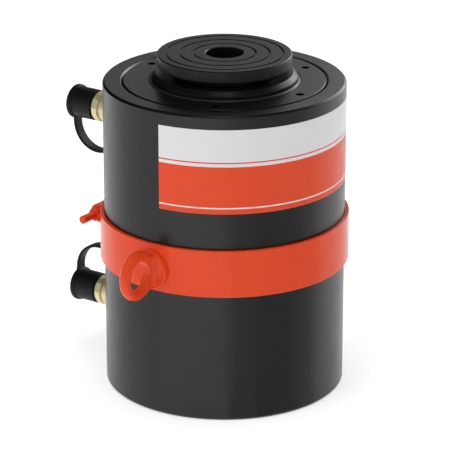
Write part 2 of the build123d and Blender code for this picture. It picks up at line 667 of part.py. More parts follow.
def poppet(height):
    """Stem, disc, cone and tip; the cone closes the coupler's seat."""
    slope = (CHAMBER_R - SEAT_HOLE_R) / SEAT_L
    clear = POPPET_SEAT_GAP * math.hypot(1, slope)
    cone_r = POPPET_DISC_R
    tip_r = SEAT_HOLE_R - POPPET_CONE_STEP
    meets = SEAT_START + (CHAMBER_R - clear - cone_r) / slope
    cone_high = SEAT_START + (CHAMBER_R - clear - tip_r) / slope
    e = POPPET_TIP_EDGE
    body = turned([
        (0, POPPET_STEM_END), (POPPET_STEM_R, POPPET_STEM_END), (POPPET_STEM_R, POPPET_BACK),
        (cone_r, POPPET_BACK), (cone_r, meets), (tip_r, cone_high), (POPPET_TIP_R, cone_high + 1),
        (POPPET_TIP_R, POPPET_TIP_END - e), (POPPET_TIP_R - e, POPPET_TIP_END), (0, POPPET_TIP_END)])
    return outward(body, height)


def poppet_spring(height):
    """A round-wire coil between the spring guide and the poppet's disc."""
    low = GUIDE_START + GUIDE_T + SPRING_WIRE_R + SEAL_GAP
    length = POPPET_BACK - SPRING_WIRE_R - SEAL_GAP - low
    path = Helix(length / SPRING_TURNS, length, SPRING_R)
    section = Plane(origin=path @ 0, z_dir=path % 0) * Circle(SPRING_WIRE_R)
    return outward(Pos(0, 0, low) * sweep(section, path, is_frenet=True), height)


def strap_tab(reach, from_r, strap_side):
    """The block between a ring or cap and the strap's end."""
    tab = Box(STRAP_TAB_R - from_r, STRAP_W, STRAP_T, align=(Align.MIN, Align.CENTER, Align.CENTER))
    return Pos(-strap_side * from_r, 0, reach) * Rot(0, 0, 90 + 90 * strap_side) * tab


def dust_cap(height, strap_side):
    """A moulded cap with an end flange and the tab that its strap grows from."""
    e = CAP_EDGE
    m = CAP_MOUTH_EDGE
    cap = turned([
        (CAP_BORE_R, CAP_MOUTH), (CAP_R - m, CAP_MOUTH), (CAP_R, CAP_MOUTH + m),
        (CAP_R, CAP_FLANGE_START - CAP_FLANGE_STEP), (CAP_FLANGE_R, CAP_FLANGE_START),
        (CAP_FLANGE_R, CAP_END - e), (CAP_FLANGE_R - e, CAP_END),
        (0, CAP_END), (0, CAP_BORE_END), (CAP_BORE_R, CAP_BORE_END)])
    return outward(cap + strap_tab(STRAP_CAP_REACH, CAP_R, strap_side), height)


def strap_ring(height, strap_side):
    """The moulded ring that holds the strap on the nipple's neck."""
    low = STRAP_RING_REACH - STRAP_RING_T / 2
    ring = tube(STRAP_RING_R, NIPPLE_NECK_R + SEAL_GAP, low, low + STRAP_RING_T)
    return outward(ring + strap_tab(STRAP_RING_REACH, STRAP_RING_R - STRAP_TAB_ROOT, strap_side), height)


def cap_strap(height, strap_side):
    """The flat rubber strap: half a circle from the ring's tab to the cap's."""
    loop_r = (STRAP_CAP_REACH - STRAP_RING_REACH) / 2
    middle = (STRAP_CAP_REACH + STRAP_RING_REACH) / 2
    start = height + strap_side * STRAP_TAB_R
    ring = Cylinder(loop_r + STRAP_T / 2, STRAP_W) - Cylinder(loop_r - STRAP_T / 2, STRAP_W)
    reach = 2 * (loop_r + STRAP_T)
    half = Box(reach, STRAP_W, reach, align=(Align.CENTER, Align.CENTER, Align.MIN))
    turn = Rot(0 if strap_side > 0 else 180, 0, 0)
    return Pos(-middle, 0, start) * Rot(90, 0, 0) * ring & Pos(-middle, 0, start) * turn * half


def relief_valve():
    """The relief valve's plug for the retract side, with a hexagon socket."""
    low = RELIEF_SPOT_REACH - RELIEF_L
    seat = RELIEF_SPOT_REACH
    head = seat + RELIEF_FLANGE_T
    stem = RELIEF_R - THREAD_GAP
    e = RELIEF_EDGE
    plug = turned([
        (0, low), (stem - e, low), (stem, low + e), (stem, seat),
        (RELIEF_FLANGE_R, seat), (RELIEF_FLANGE_R, head - e), (RELIEF_FLANGE_R - e, head), (0, head)])
    plug -= hex_bar(vertex_r(RELIEF_SOCKET_AF), head - RELIEF_SOCKET_DEPTH, head + 1)
    return outward(plug, RETRACT_Z, RELIEF_ANGLE)


# The pieces, by the names that a fitter would use
PIECES = {
    "cylinder_body": cylinder_body(),
    "gland_nut": gland_nut(),
    "gland_o_ring": gland_o_ring(),
    "gland_backup_ring": gland_backup_ring(),
    "rod_bearing": rod_bearing(),
    "rod_seal": rod_seal(),
    "rod_backup_ring": rod_backup_ring(),
    "rod_wiper": rod_wiper(),
    "piston_rod": piston_rod(),
    "piston_head": piston_head(),
    "piston_seal": piston_seal(),
    "piston_backup_rings": piston_backup_rings(),
    "piston_wear_rings": piston_wear_rings(),
    "piston_o_ring": piston_o_ring(),
    "piston_nut": piston_nut(),
    "piston_nut_screw": piston_nut_screw(),
    "saddle_seat": saddle_seat(),
    "saddle": saddle(),
    "lifting_band": lifting_band(),
    "lifting_eye_front": lifting_eye(-1),
    "lifting_eye_rear": lifting_eye(1),
    "band_bolt": band_bolt(),
    "band_nut": band_nut(),
    "relief_valve": relief_valve(),
}

# Each port has the same fittings; the straps hang towards the barrel's middle
for port, port_z, strap_side in (("advance", ADVANCE_Z, 1), ("retract", RETRACT_Z, -1)):
    PIECES[port + "_port_nipple"] = nipple(port_z)
    PIECES[port + "_coupler_body"] = coupler_body(port_z)
    PIECES[port + "_coupler_seal"] = front_seal(port_z)
    PIECES[port + "_spring_guide"] = spring_guide(port_z)
    PIECES[port + "_poppet_spring"] = poppet_spring(port_z)
    PIECES[port + "_poppet"] = poppet(port_z)
    PIECES[port + "_strap_ring"] = strap_ring(port_z, strap_side)
    PIECES[port + "_cap_strap"] = cap_strap(port_z, strap_side)
    PIECES[port + "_dust_cap"] = dust_cap(port_z, strap_side)

os.makedirs("parts", exist_ok=True)
for name, piece in PIECES.items():
    solid = Compound(children=list(piece)) if isinstance(piece, list) else piece
    export_step(solid, f"parts/{name}.step")
print(len(PIECES), "pieces")
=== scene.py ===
# %% [markdown]
# # A double-acting hydraulic cylinder
#
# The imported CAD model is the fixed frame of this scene. It says where every
# piece is and how it moves. The cells below dress it: each visible piece
# gets a smooth mesh of the same size, and every surface gets a finish.
# We begin by loading the frame and keeping the size of the whole model,
# because the dressed cylinder has to stay as large as it is.

# %% Load the frame
import math

import bmesh
import bpy
from mathutils import Matrix, Vector


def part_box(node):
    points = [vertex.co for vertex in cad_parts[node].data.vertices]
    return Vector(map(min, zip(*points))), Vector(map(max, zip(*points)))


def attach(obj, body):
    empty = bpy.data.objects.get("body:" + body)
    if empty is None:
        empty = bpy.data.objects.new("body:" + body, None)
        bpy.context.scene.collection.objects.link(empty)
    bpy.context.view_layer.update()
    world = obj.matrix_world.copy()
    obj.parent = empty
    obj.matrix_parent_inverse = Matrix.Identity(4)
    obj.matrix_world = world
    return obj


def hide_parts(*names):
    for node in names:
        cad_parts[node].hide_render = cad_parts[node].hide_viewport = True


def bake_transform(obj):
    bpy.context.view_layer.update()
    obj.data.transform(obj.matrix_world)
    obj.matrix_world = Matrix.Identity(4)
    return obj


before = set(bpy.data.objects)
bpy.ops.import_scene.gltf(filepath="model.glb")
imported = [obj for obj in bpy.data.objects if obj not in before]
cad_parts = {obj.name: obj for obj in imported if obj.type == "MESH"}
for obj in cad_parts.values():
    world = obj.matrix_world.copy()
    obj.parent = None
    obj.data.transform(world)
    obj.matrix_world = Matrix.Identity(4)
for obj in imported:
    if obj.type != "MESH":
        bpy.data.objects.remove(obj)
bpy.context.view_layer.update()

# %% [markdown]
# ## Sizes
#
# Most sizes are read from the frame, so that a change in the CAD moves the
# dressed pieces too. A box only gives a piece's outside. The few inner
# sizes, such as a chamfer or a groove, are named here in millimetres, the
# unit in which a fitter knows them.

# %% Sizes read from the frame
MM = 0.001


def outer_radius(node):
    """Half of a turned piece's width, in millimetres."""
    low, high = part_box(node)
    return (high.y - low.y) / 2 / MM


def bottom(node):
    """The lowest height of a node, in millimetres."""
    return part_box(node)[0].z / MM


def top(node):
    """The highest height of a node, in millimetres."""
    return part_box(node)[1].z / MM


def mid_height(node):
    """The height of a node's middle, in millimetres."""
    return (bottom(node) + top(node)) / 2


def reach(node):
    """How far a node goes out from the cylinder's axis towards the couplers."""
    return -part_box(node)[0].x / MM


def start_reach(node):
    """Where a node starts, measured from the axis towards the couplers."""
    return -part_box(node)[1].x / MM


THREAD_GAP = 0.06
RUNNING_GAP = 0.08
ROD_SEAL_WALL = 7.94
BARREL_R = outer_radius("cylinder_body")
BARREL_TOP = top("cylinder_body")
ROD_R = outer_radius("rod_seal") - ROD_SEAL_WALL
ROD_TOP = top("piston_rod")
ROD_BOTTOM = bottom("piston_rod")
SADDLE_R = outer_radius("saddle")
SADDLE_TOP = top("saddle")
GLAND_R = outer_radius("gland_nut")
GLAND_BOTTOM = bottom("gland_nut")
BAND_R = outer_radius("lifting_band")
BAND_LOW = bottom("lifting_band")
BAND_HIGH = top("lifting_band")
BAND_MID = (BAND_LOW + BAND_HIGH) / 2
print("barrel radius", round(BARREL_R, 2), "height", round(BARREL_TOP, 2))

# %% Heights and reaches of the two ports
PORT_HEIGHTS = {port: mid_height(port + "_coupler_seal") for port in ("advance", "retract")}
# The advance port's strap stands above its cap, the retract port's hangs below
STRAP_SIDES = {"advance": 1, "retract": -1}
SPOT_FACE_DEPTH = 1.8
SPOT_FACE_REACH = BARREL_R - SPOT_FACE_DEPTH
SPOT_FACE_R = 21.0
PORT_THREAD_R = 8.4
PORT_DRILL_R = 4.0
COUPLER_START = start_reach("advance_coupler_body")
COUPLER_END = reach("advance_coupler_body")
CAP_START = start_reach("advance_dust_cap")
CAP_END = reach("advance_dust_cap")
print("ports at", {name: round(height, 2) for name, height in PORT_HEIGHTS.items()})

# %% [markdown]
# ## Turning, milling and joining
#
# Nearly every piece of this cylinder was made on a lathe. In Blender the
# same is done with `bmesh.ops.spin`: a half section is drawn as a few
# corners, and swept round the axis. A full turn is merged with its own
# start, so the ring has no seam.

# %% A lathe
RING_STEPS = 192


def turned(profile, steps=RING_STEPS):
    """Spins a half section of (radius, height) corners, in mm, round Z."""
    mesh = bmesh.new()
    corners = [mesh.verts.new((radius * MM, 0, height * MM)) for radius, height in profile]
    edges = [mesh.edges.new(pair) for pair in zip(corners, corners[1:])]
    ends_on_axis = profile[0][0] == 0 and profile[-1][0] == 0
    if not ends_on_axis:
        edges.append(mesh.edges.new((corners[-1], corners[0])))
    bmesh.ops.spin(mesh, geom=corners + edges, cent=(0, 0, 0), axis=(0, 0, 1),
                   angle=math.tau, steps=steps, use_merge=True)
    bmesh.ops.remove_doubles(mesh, verts=mesh.verts, dist=0.001 * MM)
    bmesh.ops.recalc_face_normals(mesh, faces=mesh.faces)
    return mesh


def bar(radius, low, high, steps=64):
    """A plain round bar along Z, mostly used as a drill."""
    return turned([(0, low), (radius, low), (radius, high), (0, high)], steps)


def notch(face_r, floor_r, start, end):
    """Four corners of a half section that cut a square groove into a face."""
    return [(face_r, start), (floor_r, start), (floor_r, end), (face_r, end)]


def bent(section, start, angle, steps):
    """Sweeps a closed (radius, height) section round Z, through part of a turn."""
    mesh = bmesh.new()
    face = mesh.faces.new([mesh.verts.new((radius * MM, 0, height * MM)) for radius, height in section])
    bmesh.ops.rotate(mesh, verts=mesh.verts, matrix=Matrix.Rotation(start, 3, "Z"))
    bmesh.ops.spin(mesh, geom=[face], cent=(0, 0, 0), axis=(0, 0, 1), angle=angle, steps=steps)
    bmesh.ops.recalc_face_normals(mesh, faces=mesh.faces)
    return mesh


# %% [markdown]
# A machined edge is never perfectly sharp: it is broken by a file or a
# chamfer, and that thin rounding is what catches the light. `bmesh.ops.bevel`
# does it for every edge whose two faces meet at a clear angle.

# %% Broken edges
def soften(mesh, width, sharpest=32, segments=3):
    """Rounds all the edges that are sharper than an angle in degrees."""
    limit = math.radians(sharpest)
    edges = [edge for edge in mesh.edges if len(edge.link_faces) == 2 and edge.calc_face_angle() > limit]
    bmesh.ops.bevel(mesh, geom=edges, offset=width * MM, affect="EDGES", segments=segments,
                    profile=0.5, material=-1, clamp_overlap=True)
    return mesh


# %% [markdown]
# Holes and welded joints need two shapes to become one. The exact Boolean
# solver does this well on closed meshes. It works on objects, so this
# helper makes two for a moment, and keeps only the resulting mesh. The
# same trick applies a voxel remesh, which melts joined shapes into one
# skin, as casting and forging do.

# %% Cutting, joining and melting
def as_object(mesh, name="workpiece"):
    """Puts a bmesh on an object of its own."""
    data = bpy.data.meshes.new(name)
    mesh.to_mesh(data)
    mesh.free()
    item = bpy.data.objects.new(name, data)
    bpy.context.scene.collection.objects.link(item)
    return item


def modified(item):
    """The bmesh of an object with its modifiers applied; the object goes."""
    evaluated = item.evaluated_get(bpy.context.evaluated_depsgraph_get())
    data = bpy.data.meshes.new_from_object(evaluated)
    mesh = bmesh.new()
    mesh.from_mesh(data)
    bpy.data.meshes.remove(data)
    bpy.data.objects.remove(item)
    return mesh


def combined(base, other, operation):
    """Joins or cuts two closed meshes; both are used up."""
    item = as_object(base)
    tool = as_object(other)
    boolean = item.modifiers.new("boolean", "BOOLEAN")
    boolean.operation = operation
    boolean.solver = "EXACT"
    boolean.object = tool
    mesh = modified(item)
    bpy.data.objects.remove(tool)
    return mesh


def melted(mesh, voxel, rounds):
    """Turns joined shapes into one skin with soft hollows, like a forging."""
    item = as_object(mesh)
    remesh = item.modifiers.new("remesh", "REMESH")
    remesh.mode = "VOXEL"
    remesh.voxel_size = voxel * MM
    smooth = item.modifiers.new("smooth", "SMOOTH")
    smooth.factor = 0.5
    smooth.iterations = rounds
    return modified(item)


def drilled(mesh, tools):
    """Cuts a list of tools out of a mesh."""
    for tool in tools:
        mesh = combined(mesh, tool, "DIFFERENCE")
    return mesh


# %% [markdown]
# Pieces are made standing on Z and then turned to their place: couplers
# point away from the barrel, and the band's bolt lies across its lugs. In
# a product of matrices the last one acts first.

# %% Turning pieces to their place
def position(x, y, z):
    """A move by millimetres."""
    return Matrix.Translation((x * MM, y * MM, z * MM))


def rotation(degrees, axis):
    """A turn round an axis through the origin."""
    return Matrix.Rotation(math.radians(degrees), 4, axis)


def moved(mesh, matrix):
    """Moves a mesh and gives it back."""
    bmesh.ops.transform(mesh, matrix=matrix, verts=mesh.verts)
    return mesh


def outward(mesh, height, turn=180):
    """Points a piece away from the axis at a height in mm."""
    return moved(mesh, position(0, 0, height) @ rotation(turn, "Z") @ rotation(90, "Y"))


# %% [markdown]
# A hexagon bar has its six corners turned off at the ends. It starts as a
# six-sided circle that is extruded. A turned bar with coned ends is made
# as well, and the piece is what both shapes have in common.

# %% Hexagons
def extruded(mesh, rise):
    """Gives thickness to the flat faces of a mesh, along a vector in mm."""
    raised = bmesh.ops.extrude_face_region(mesh, geom=mesh.faces[:])
    lifted = [item for item in raised["geom"] if isinstance(item, bmesh.types.BMVert)]
    bmesh.ops.translate(mesh, verts=lifted, vec=Vector(rise) * MM)
    bmesh.ops.recalc_face_normals(mesh, faces=mesh.faces)
    return mesh


def hexagon(corner_r, low, high, turn=0, turned_r=None):
    """A hexagon bar along Z, a corner at `turn` degrees from X."""
    mesh = bmesh.new()
    bmesh.ops.create_circle(mesh, cap_ends=True, segments=6, radius=corner_r * MM)
    # Blender's six-sided circle has a corner 30 degrees from X
    bmesh.ops.rotate(mesh, verts=mesh.verts, matrix=Matrix.Rotation(math.radians(turn - 30), 3, "Z"))
    bmesh.ops.translate(mesh, verts=mesh.verts, vec=(0, 0, low * MM))
    extruded(mesh, (0, 0, high - low))
    if turned_r is None:
        return mesh
    drop = (corner_r - turned_r) * math.tan(math.radians(30))
    cone = turned([(0, low), (turned_r, low), (corner_r, low + drop), (corner_r + 1, low + drop),
                   (corner_r + 1, high - drop), (corner_r, high - drop), (turned_r, high), (0, high)], 96)
    return combined(mesh, cone, "INTERSECT")


def corner_radius(across_flats):
    """The radius at a hexagon's corners, from its size across flats."""
    return across_flats / math.sqrt(3)


# %% [markdown]
# The last helper hands a finished mesh to the frame. Faces are shaded
# smooth, except across sharp edges, and a Weighted Normal modifier keeps
# the large flat faces flat. Then the piece is parented to the body it rides
# on, and the CAD nodes it stands for are hidden.

# %% Handing a piece to the frame
SHARP_FROM = math.radians(35)


def made(name, mesh, material):
    """A shaded object from a bmesh, with its place in its mesh."""
    piece = as_object(mesh, name)
    piece.data.materials.append(material)
    piece.data.shade_smooth()
    piece.data.set_sharp_from_angle(angle=SHARP_FROM)
    weighted = piece.modifiers.new("flat faces", "WEIGHTED_NORMAL")
    weighted.keep_sharp = True
    print(name, len(piece.data.polygons), "faces")
    return piece


def dressed(name, mesh, material, slot, body, *nodes):
    """Makes a piece that rides on a body and stands for CAD nodes."""
    piece = made(name, mesh, material)
    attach(piece, body)
    if nodes:
        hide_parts(*nodes)
    return piece


# %% [markdown]
# ## Finishes
#
# A finish is a small node tree: a Principled shader, some noise that makes
# its gloss uneven, and a fine bump. All noise reads Object coordinates,
# which are in metres here, so a scale of 1000 gives grains of about a
# millimetre.

# %% Helpers for node trees
def finish_tree(name, colour, roughness, metallic=0.0):
    """A new material with its shader set; gives the material and its shader."""
    material = bpy.data.materials.new(name)
    material.use_nodes = True
    shader = material.node_tree.nodes["Principled BSDF"]
    shader.inputs["Base Color"].default_value = (*colour, 1)
    shader.inputs["Roughness"].default_value = roughness
    shader.inputs["Metallic"].default_value = metallic
    return material, shader


def noise(material, scale, detail=2.0):
    """Noise on Object coordinates."""
    nodes = material.node_tree.nodes
    coordinates = nodes.new("ShaderNodeTexCoord")
    texture = nodes.new("ShaderNodeTexNoise")
    texture.inputs["Scale"].default_value = scale
    texture.inputs["Detail"].default_value = detail
    material.node_tree.links.new(coordinates.outputs["Object"], texture.inputs["Vector"])
    return texture.outputs["Fac"]


def spread(material, value, low, high):
    """Maps the middle of a noise value onto a range."""
    node = material.node_tree.nodes.new("ShaderNodeMapRange")
    node.inputs["From Min"].default_value = 0.3
    node.inputs["From Max"].default_value = 0.7
    node.inputs["To Min"].default_value = low
    node.inputs["To Max"].default_value = high
    material.node_tree.links.new(value, node.inputs["Value"])
    return node.outputs["Result"]


def uneven_gloss(material, shader, scale, low, high):
    """Lets the roughness wander between two values."""
    value = spread(material, noise(material, scale), low, high)
    material.node_tree.links.new(value, shader.inputs["Roughness"])


def embossed(material, shader, height, depth):
    """Adds a bump of the given depth in mm on top of the shader's earlier one."""
    bump = material.node_tree.nodes.new("ShaderNodeBump")
    bump.inputs["Strength"].default_value = 1.0
    bump.inputs["Distance"].default_value = depth * MM
    links = material.node_tree.links
    links.new(height, bump.inputs["Height"])
    for earlier in [link.from_socket for link in shader.inputs["Normal"].links]:
        links.new(earlier, bump.inputs["Normal"])
    links.new(bump.outputs["Normal"], shader.inputs["Normal"])


def grain(material, shader, scale, depth):
    """Adds a fine grain of the given depth in mm."""
    embossed(material, shader, noise(material, scale, 3.0), depth)


def turning_marks(material, shader, scale, depth, kind="RINGS", distortion=0.4, detail=1.0):
    """The marks of a turning tool: rings round Z, or bands along X."""
    nodes = material.node_tree.nodes
    coordinates = nodes.new("ShaderNodeTexCoord")
    wave = nodes.new("ShaderNodeTexWave")
    wave.wave_type = kind
    wave.rings_direction = "Z"
    wave.bands_direction = "X"
    wave.inputs["Scale"].default_value = scale
    wave.inputs["Distortion"].default_value = distortion
    wave.inputs["Detail"].default_value = detail
    material.node_tree.links.new(coordinates.outputs["Object"], wave.inputs["Vector"])
    embossed(material, shader, wave.outputs["Fac"], depth)


def tint(material, shader, scale, dark, light):
    """Lets the colour wander between two tones."""
    mix = material.node_tree.nodes.new("ShaderNodeMix")
    mix.data_type = "RGBA"
    mix.inputs["A"].default_value = (*dark, 1)
    mix.inputs["B"].default_value = (*light, 1)
    links = material.node_tree.links
    links.new(spread(material, noise(material, scale), 0, 1), mix.inputs["Factor"])
    links.new(mix.outputs["Result"], shader.inputs["Base Color"])


# %% [markdown]
# Every paint, metal and rubber follows one recipe with other numbers: a
# colour that wanders between two tones, an uneven gloss, turning marks
# where the piece comes from a lathe, and a fine grain on top.

# %% One recipe for all finishes
def finish(name, dark, light, tone_scale, gloss, gloss_scale, bump=None, marks=None, metallic=0.0,
           specular=0.5):
    """A finish; `bump` and `marks` give scale and depth in mm of the grain and the turning marks."""
    middle = [(one + two) / 2 for one, two in zip(dark, light)]
    material, shader = finish_tree(name, middle, sum(gloss) / 2, metallic)
    shader.inputs["Specular IOR Level"].default_value = specular
    tint(material, shader, tone_scale, dark, light)
    uneven_gloss(material, shader, gloss_scale, *gloss)
    if marks:
        turning_marks(material, shader, *marks)
    if bump:
        grain(material, shader, *bump)
    return material


def rings_apart(pitch):
    """The Wave texture's scale that puts rings a distance in mm apart."""
    return 1 / (pitch * MM) / math.tau


# %% [markdown]
# Barrel and gland nut are sprayed with satin black enamel, and the band and
# its eyes with orange. Sprayed paint dries with a faint orange-peel, so the
# light breaks up a little. The rod's end and the saddle are heat-treated
# steel, blackened and oiled. Brass is turned too, but its marks lie across
# the X axis, so they are bands along X and not rings. Moulded rubber is
# matt, with a very fine texture from its mould.

# %% Paints, steels, brass and rubber
STEEL_TONE = (0.55, 0.55, 0.56)
ENAMEL = finish("black_enamel", (0.0038, 0.0038, 0.0041), (0.0052, 0.0052, 0.0055), 18,
                (0.30, 0.35), 35, bump=(700, 0.004), specular=0.47)
ORANGE = finish("orange_enamel", (0.76, 0.065, 0.015), (0.80, 0.071, 0.017), 30,
                (0.17, 0.22), 45, bump=(600, 0.008), specular=0.22)
BLACKENED = finish("blackened_steel", (0.0040, 0.0040, 0.0044), (0.0060, 0.0060, 0.0064), 25,
                   (0.31, 0.38), 40, bump=(1500, 0.002), marks=(rings_apart(0.9), 0.0015), specular=0.33)
BRIGHT = finish("bright_steel", STEEL_TONE, STEEL_TONE, 60,
                (0.24, 0.34), 60, bump=(2500, 0.001), marks=(rings_apart(0.5), 0.001), metallic=1.0)
BRASS = finish("turned_brass", (0.77, 0.69, 0.42), (0.83, 0.75, 0.46), 60,
               (0.32, 0.42), 90, marks=(500, 0.0006, "BANDS", 0.3, 2.0), metallic=0.75)
RUBBER = finish("moulded_rubber", (0.0040, 0.0040, 0.0040), (0.0050, 0.0050, 0.0050), 70,
                (0.46, 0.56), 120, bump=(2200, 0.012), specular=0.30)


# %% [markdown]
# The seals are smoother rubber, the guide rings are natural nylon and the
# rod's bearing is bronze. These small pieces differ only in colour and gloss.

# %% Seals, plastics and bronze
def plain_finish(name, colour, gloss, metallic=0.0):
    """A small piece's finish, from one colour."""
    darker = [part * 0.9 for part in colour]
    lighter = [min(1, part * 1.08) for part in colour]
    return finish(name, darker, lighter, 90, gloss, 110, bump=(1800, 0.004), metallic=metallic)


SEAL = plain_finish("nitrile_seal", (0.013, 0.013, 0.014), (0.36, 0.46))
WIPER = plain_finish("polyurethane_wiper", (0.016, 0.016, 0.017), (0.34, 0.44))
NYLON = plain_finish("natural_nylon", (0.66, 0.62, 0.50), (0.42, 0.54))
BRONZE = plain_finish("bearing_bronze", (0.50, 0.33, 0.16), (0.30, 0.40), 1.0)
print(len(bpy.data.materials), "materials")

# %% [markdown]
# ## The barrel
#
# The barrel is one heavy steel cup: a thick base, the bore, and a wider
# threaded mouth for the gland nut. It is turned from its half section.
# The ports are then drilled from the side, each in a flat spot face, and
# four threaded holes go into the base.

# %% Turn and drill the barrel
BASE_T = 50.0
BORE_R = 108.0
BORE_CORNER = 5.0
FOOT_CHAMFER = 2.5
RIM_CHAMFER = 2.3
MOUTH_CHAMFER = 3.3
GLAND_THREAD_L = 35.5
PORT_THREAD_L = 20.2
MOUNT_HOLE_R = 11.1
MOUNT_HOLE_DEPTH = 32.0
MOUNT_PCD = 190.5
RELIEF_TURN = 150
RELIEF_R = 8.0
RELIEF_L = 24.0
RELIEF_SPOT_R = 14.0
RELIEF_SPOT_DEPTH = 0.8
# Drills run this far past a face
PAST = 5.0
ledge = BARREL_TOP - GLAND_THREAD_L
thread_r = GLAND_R + THREAD_GAP
barrel = turned([
    (0, 0), (BARREL_R - FOOT_CHAMFER, 0), (BARREL_R, FOOT_CHAMFER), (BARREL_R, BARREL_TOP - RIM_CHAMFER),
    (BARREL_R - RIM_CHAMFER, BARREL_TOP), (thread_r + MOUTH_CHAMFER, BARREL_TOP),
    (thread_r, BARREL_TOP - MOUTH_CHAMFER), (thread_r, ledge), (BORE_R, ledge),
    (BORE_R, BASE_T + BORE_CORNER), (BORE_R - BORE_CORNER, BASE_T), (0, BASE_T)], 256)
soften(barrel, 0.5, 25)
cuts = []
for height in PORT_HEIGHTS.values():
    cuts.append(outward(bar(SPOT_FACE_R, SPOT_FACE_REACH, BARREL_R + PAST, 96), height))
    cuts.append(outward(bar(PORT_THREAD_R, SPOT_FACE_REACH - PORT_THREAD_L, BARREL_R), height))
    cuts.append(outward(bar(PORT_DRILL_R, BORE_R - PAST, BARREL_R), height))
relief_height = mid_height("relief_valve")
relief_reach = BARREL_R - RELIEF_SPOT_DEPTH
cuts.append(outward(bar(RELIEF_SPOT_R, relief_reach, BARREL_R + PAST), relief_height, RELIEF_TURN))
cuts.append(outward(bar(RELIEF_R, relief_reach - RELIEF_L, BARREL_R), relief_height, RELIEF_TURN))
for quarter in range(4):
    place = rotation(45 + 90 * quarter, "Z") @ position(MOUNT_PCD / 2, 0, 0)
    cuts.append(moved(bar(MOUNT_HOLE_R, -PAST, MOUNT_HOLE_DEPTH), place))
barrel = drilled(barrel, cuts)
dressed("barrel_shell", barrel, ENAMEL, "black_paint", "barrel", "cylinder_body")

# %% [markdown]
# ## The gland nut and its wiper
#
# The gland nut screws into the barrel's mouth and guides the rod. Round
# holes in its top take a pin spanner. A scraper ring lies in its inner
# edge, and its lip stands a little proud where it touches the rod.

# %% Turn the gland nut and the wiper
GLAND_BORE_R = ROD_R + 0.35
GLAND_LAND_R = BORE_R - RUNNING_GAP
GLAND_SKIRT_R = BORE_R - 8
GLAND_GROOVE_R = BORE_R - 6.7
GLAND_EDGE = 0.6
BEARING_SEAT_R = ROD_R + 3.3
SEAL_SEAT_R = ROD_R + 8
WIPER_R = ROD_R + 4
wiper_low = BARREL_TOP - 10
land_start = ledge - 22
slope_low = land_start - 4
groove_low = land_start + 3.1
groove_high = land_start + 12.9
bearing_low = GLAND_BOTTOM + 6
bearing_high = bearing_low + 20
seal_low = bottom("rod_seal")
seal_high = top("rod_backup_ring")
gland = turned([
    (GLAND_BORE_R, GLAND_BOTTOM), (GLAND_SKIRT_R, GLAND_BOTTOM), (GLAND_SKIRT_R, slope_low),
    (GLAND_LAND_R, land_start)] + notch(GLAND_LAND_R, GLAND_GROOVE_R, groove_low, groove_high) + [
    (GLAND_LAND_R, ledge), (GLAND_R, ledge), (GLAND_R, BARREL_TOP - GLAND_EDGE),
    (GLAND_R - GLAND_EDGE, BARREL_TOP), (WIPER_R, BARREL_TOP), (WIPER_R, wiper_low),
    (GLAND_BORE_R, wiper_low)] + notch(GLAND_BORE_R, SEAL_SEAT_R, seal_high, seal_low)
    + notch(GLAND_BORE_R, BEARING_SEAT_R, bearing_high, bearing_low), 256)
soften(gland, 0.25, 60, 2)
SPANNER_PITCH_R = GLAND_R - 12.74
SPANNER_R = 4.8
SPANNER_DEPTH = 12
SPANNER_ANGLES = (0, 60, 120, 180, 300)
for angle in SPANNER_ANGLES:
    hole = bar(SPANNER_R, BARREL_TOP - SPANNER_DEPTH, BARREL_TOP + 2, 48)
    place = rotation(angle, "Z") @ position(SPANNER_PITCH_R, 0, 0)
    gland = combined(gland, moved(hole, place), "DIFFERENCE")
dressed("gland_ring", gland, ENAMEL, "black_paint", "barrel", "gland_nut")

WIPER_LIP = 0.8
WIPER_LIP_W = 1.0
WIPER_SLOPE = 1.2
wiper_inner_r = ROD_R + RUNNING_GAP
wiper_outer_r = WIPER_R - THREAD_GAP
wiper = turned([
    (wiper_inner_r, wiper_low), (wiper_outer_r, wiper_low), (wiper_outer_r, BARREL_TOP - WIPER_LIP),
    (wiper_outer_r - WIPER_SLOPE, BARREL_TOP - WIPER_LIP),
    (wiper_inner_r + WIPER_LIP_W, BARREL_TOP + WIPER_LIP), (wiper_inner_r, BARREL_TOP + WIPER_LIP)])
soften(wiper, 0.3, 30)
dressed("scraper_ring", wiper, WIPER, "wiper_plastic", "barrel", "rod_wiper")

# %% [markdown]
# ## The piston rod
#
# The rod is one turned bar. Its top edge has a wide chamfer, which draws
# the bright line round the rod in the photograph, and its end is bored
# out for the saddle's seat.

# %% Turn the piston rod
SPIGOT_R = ROD_R - 18
SPIGOT_CHAMFER = 2
RING_GROOVE_R = SPIGOT_R - 4.9
RING_GROOVE_HALF = 2.6
ROD_CHAMFER = 5
POCKET_R = ROD_R - 19
POCKET_FLOOR = ROD_TOP - 32
piston_top = top("piston_head")
ring_z = mid_height("piston_o_ring")
rod = turned([
    (0, ROD_BOTTOM), (SPIGOT_R - SPIGOT_CHAMFER, ROD_BOTTOM), (SPIGOT_R, ROD_BOTTOM + SPIGOT_CHAMFER)]
    + notch(SPIGOT_R, RING_GROOVE_R, ring_z - RING_GROOVE_HALF, ring_z + RING_GROOVE_HALF) + [
    (SPIGOT_R, piston_top), (ROD_R, piston_top), (ROD_R, ROD_TOP - ROD_CHAMFER),
    (ROD_R - ROD_CHAMFER, ROD_TOP), (POCKET_R, ROD_TOP), (POCKET_R, POCKET_FLOOR), (0, POCKET_FLOOR)], 256)
soften(rod, 0.6, 30)
dressed("ram", rod, BLACKENED, "black_oxide", "rod", "piston_rod")

# %% [markdown]
# ## The saddle
#
# The saddle is the swivelling load disc: a rim with three grip grooves, a
# neck, and a ball-shaped foot that rocks in its seat. The foot's curve is
# an arc about the ball's centre, so a dozen of its points join the half
# section.

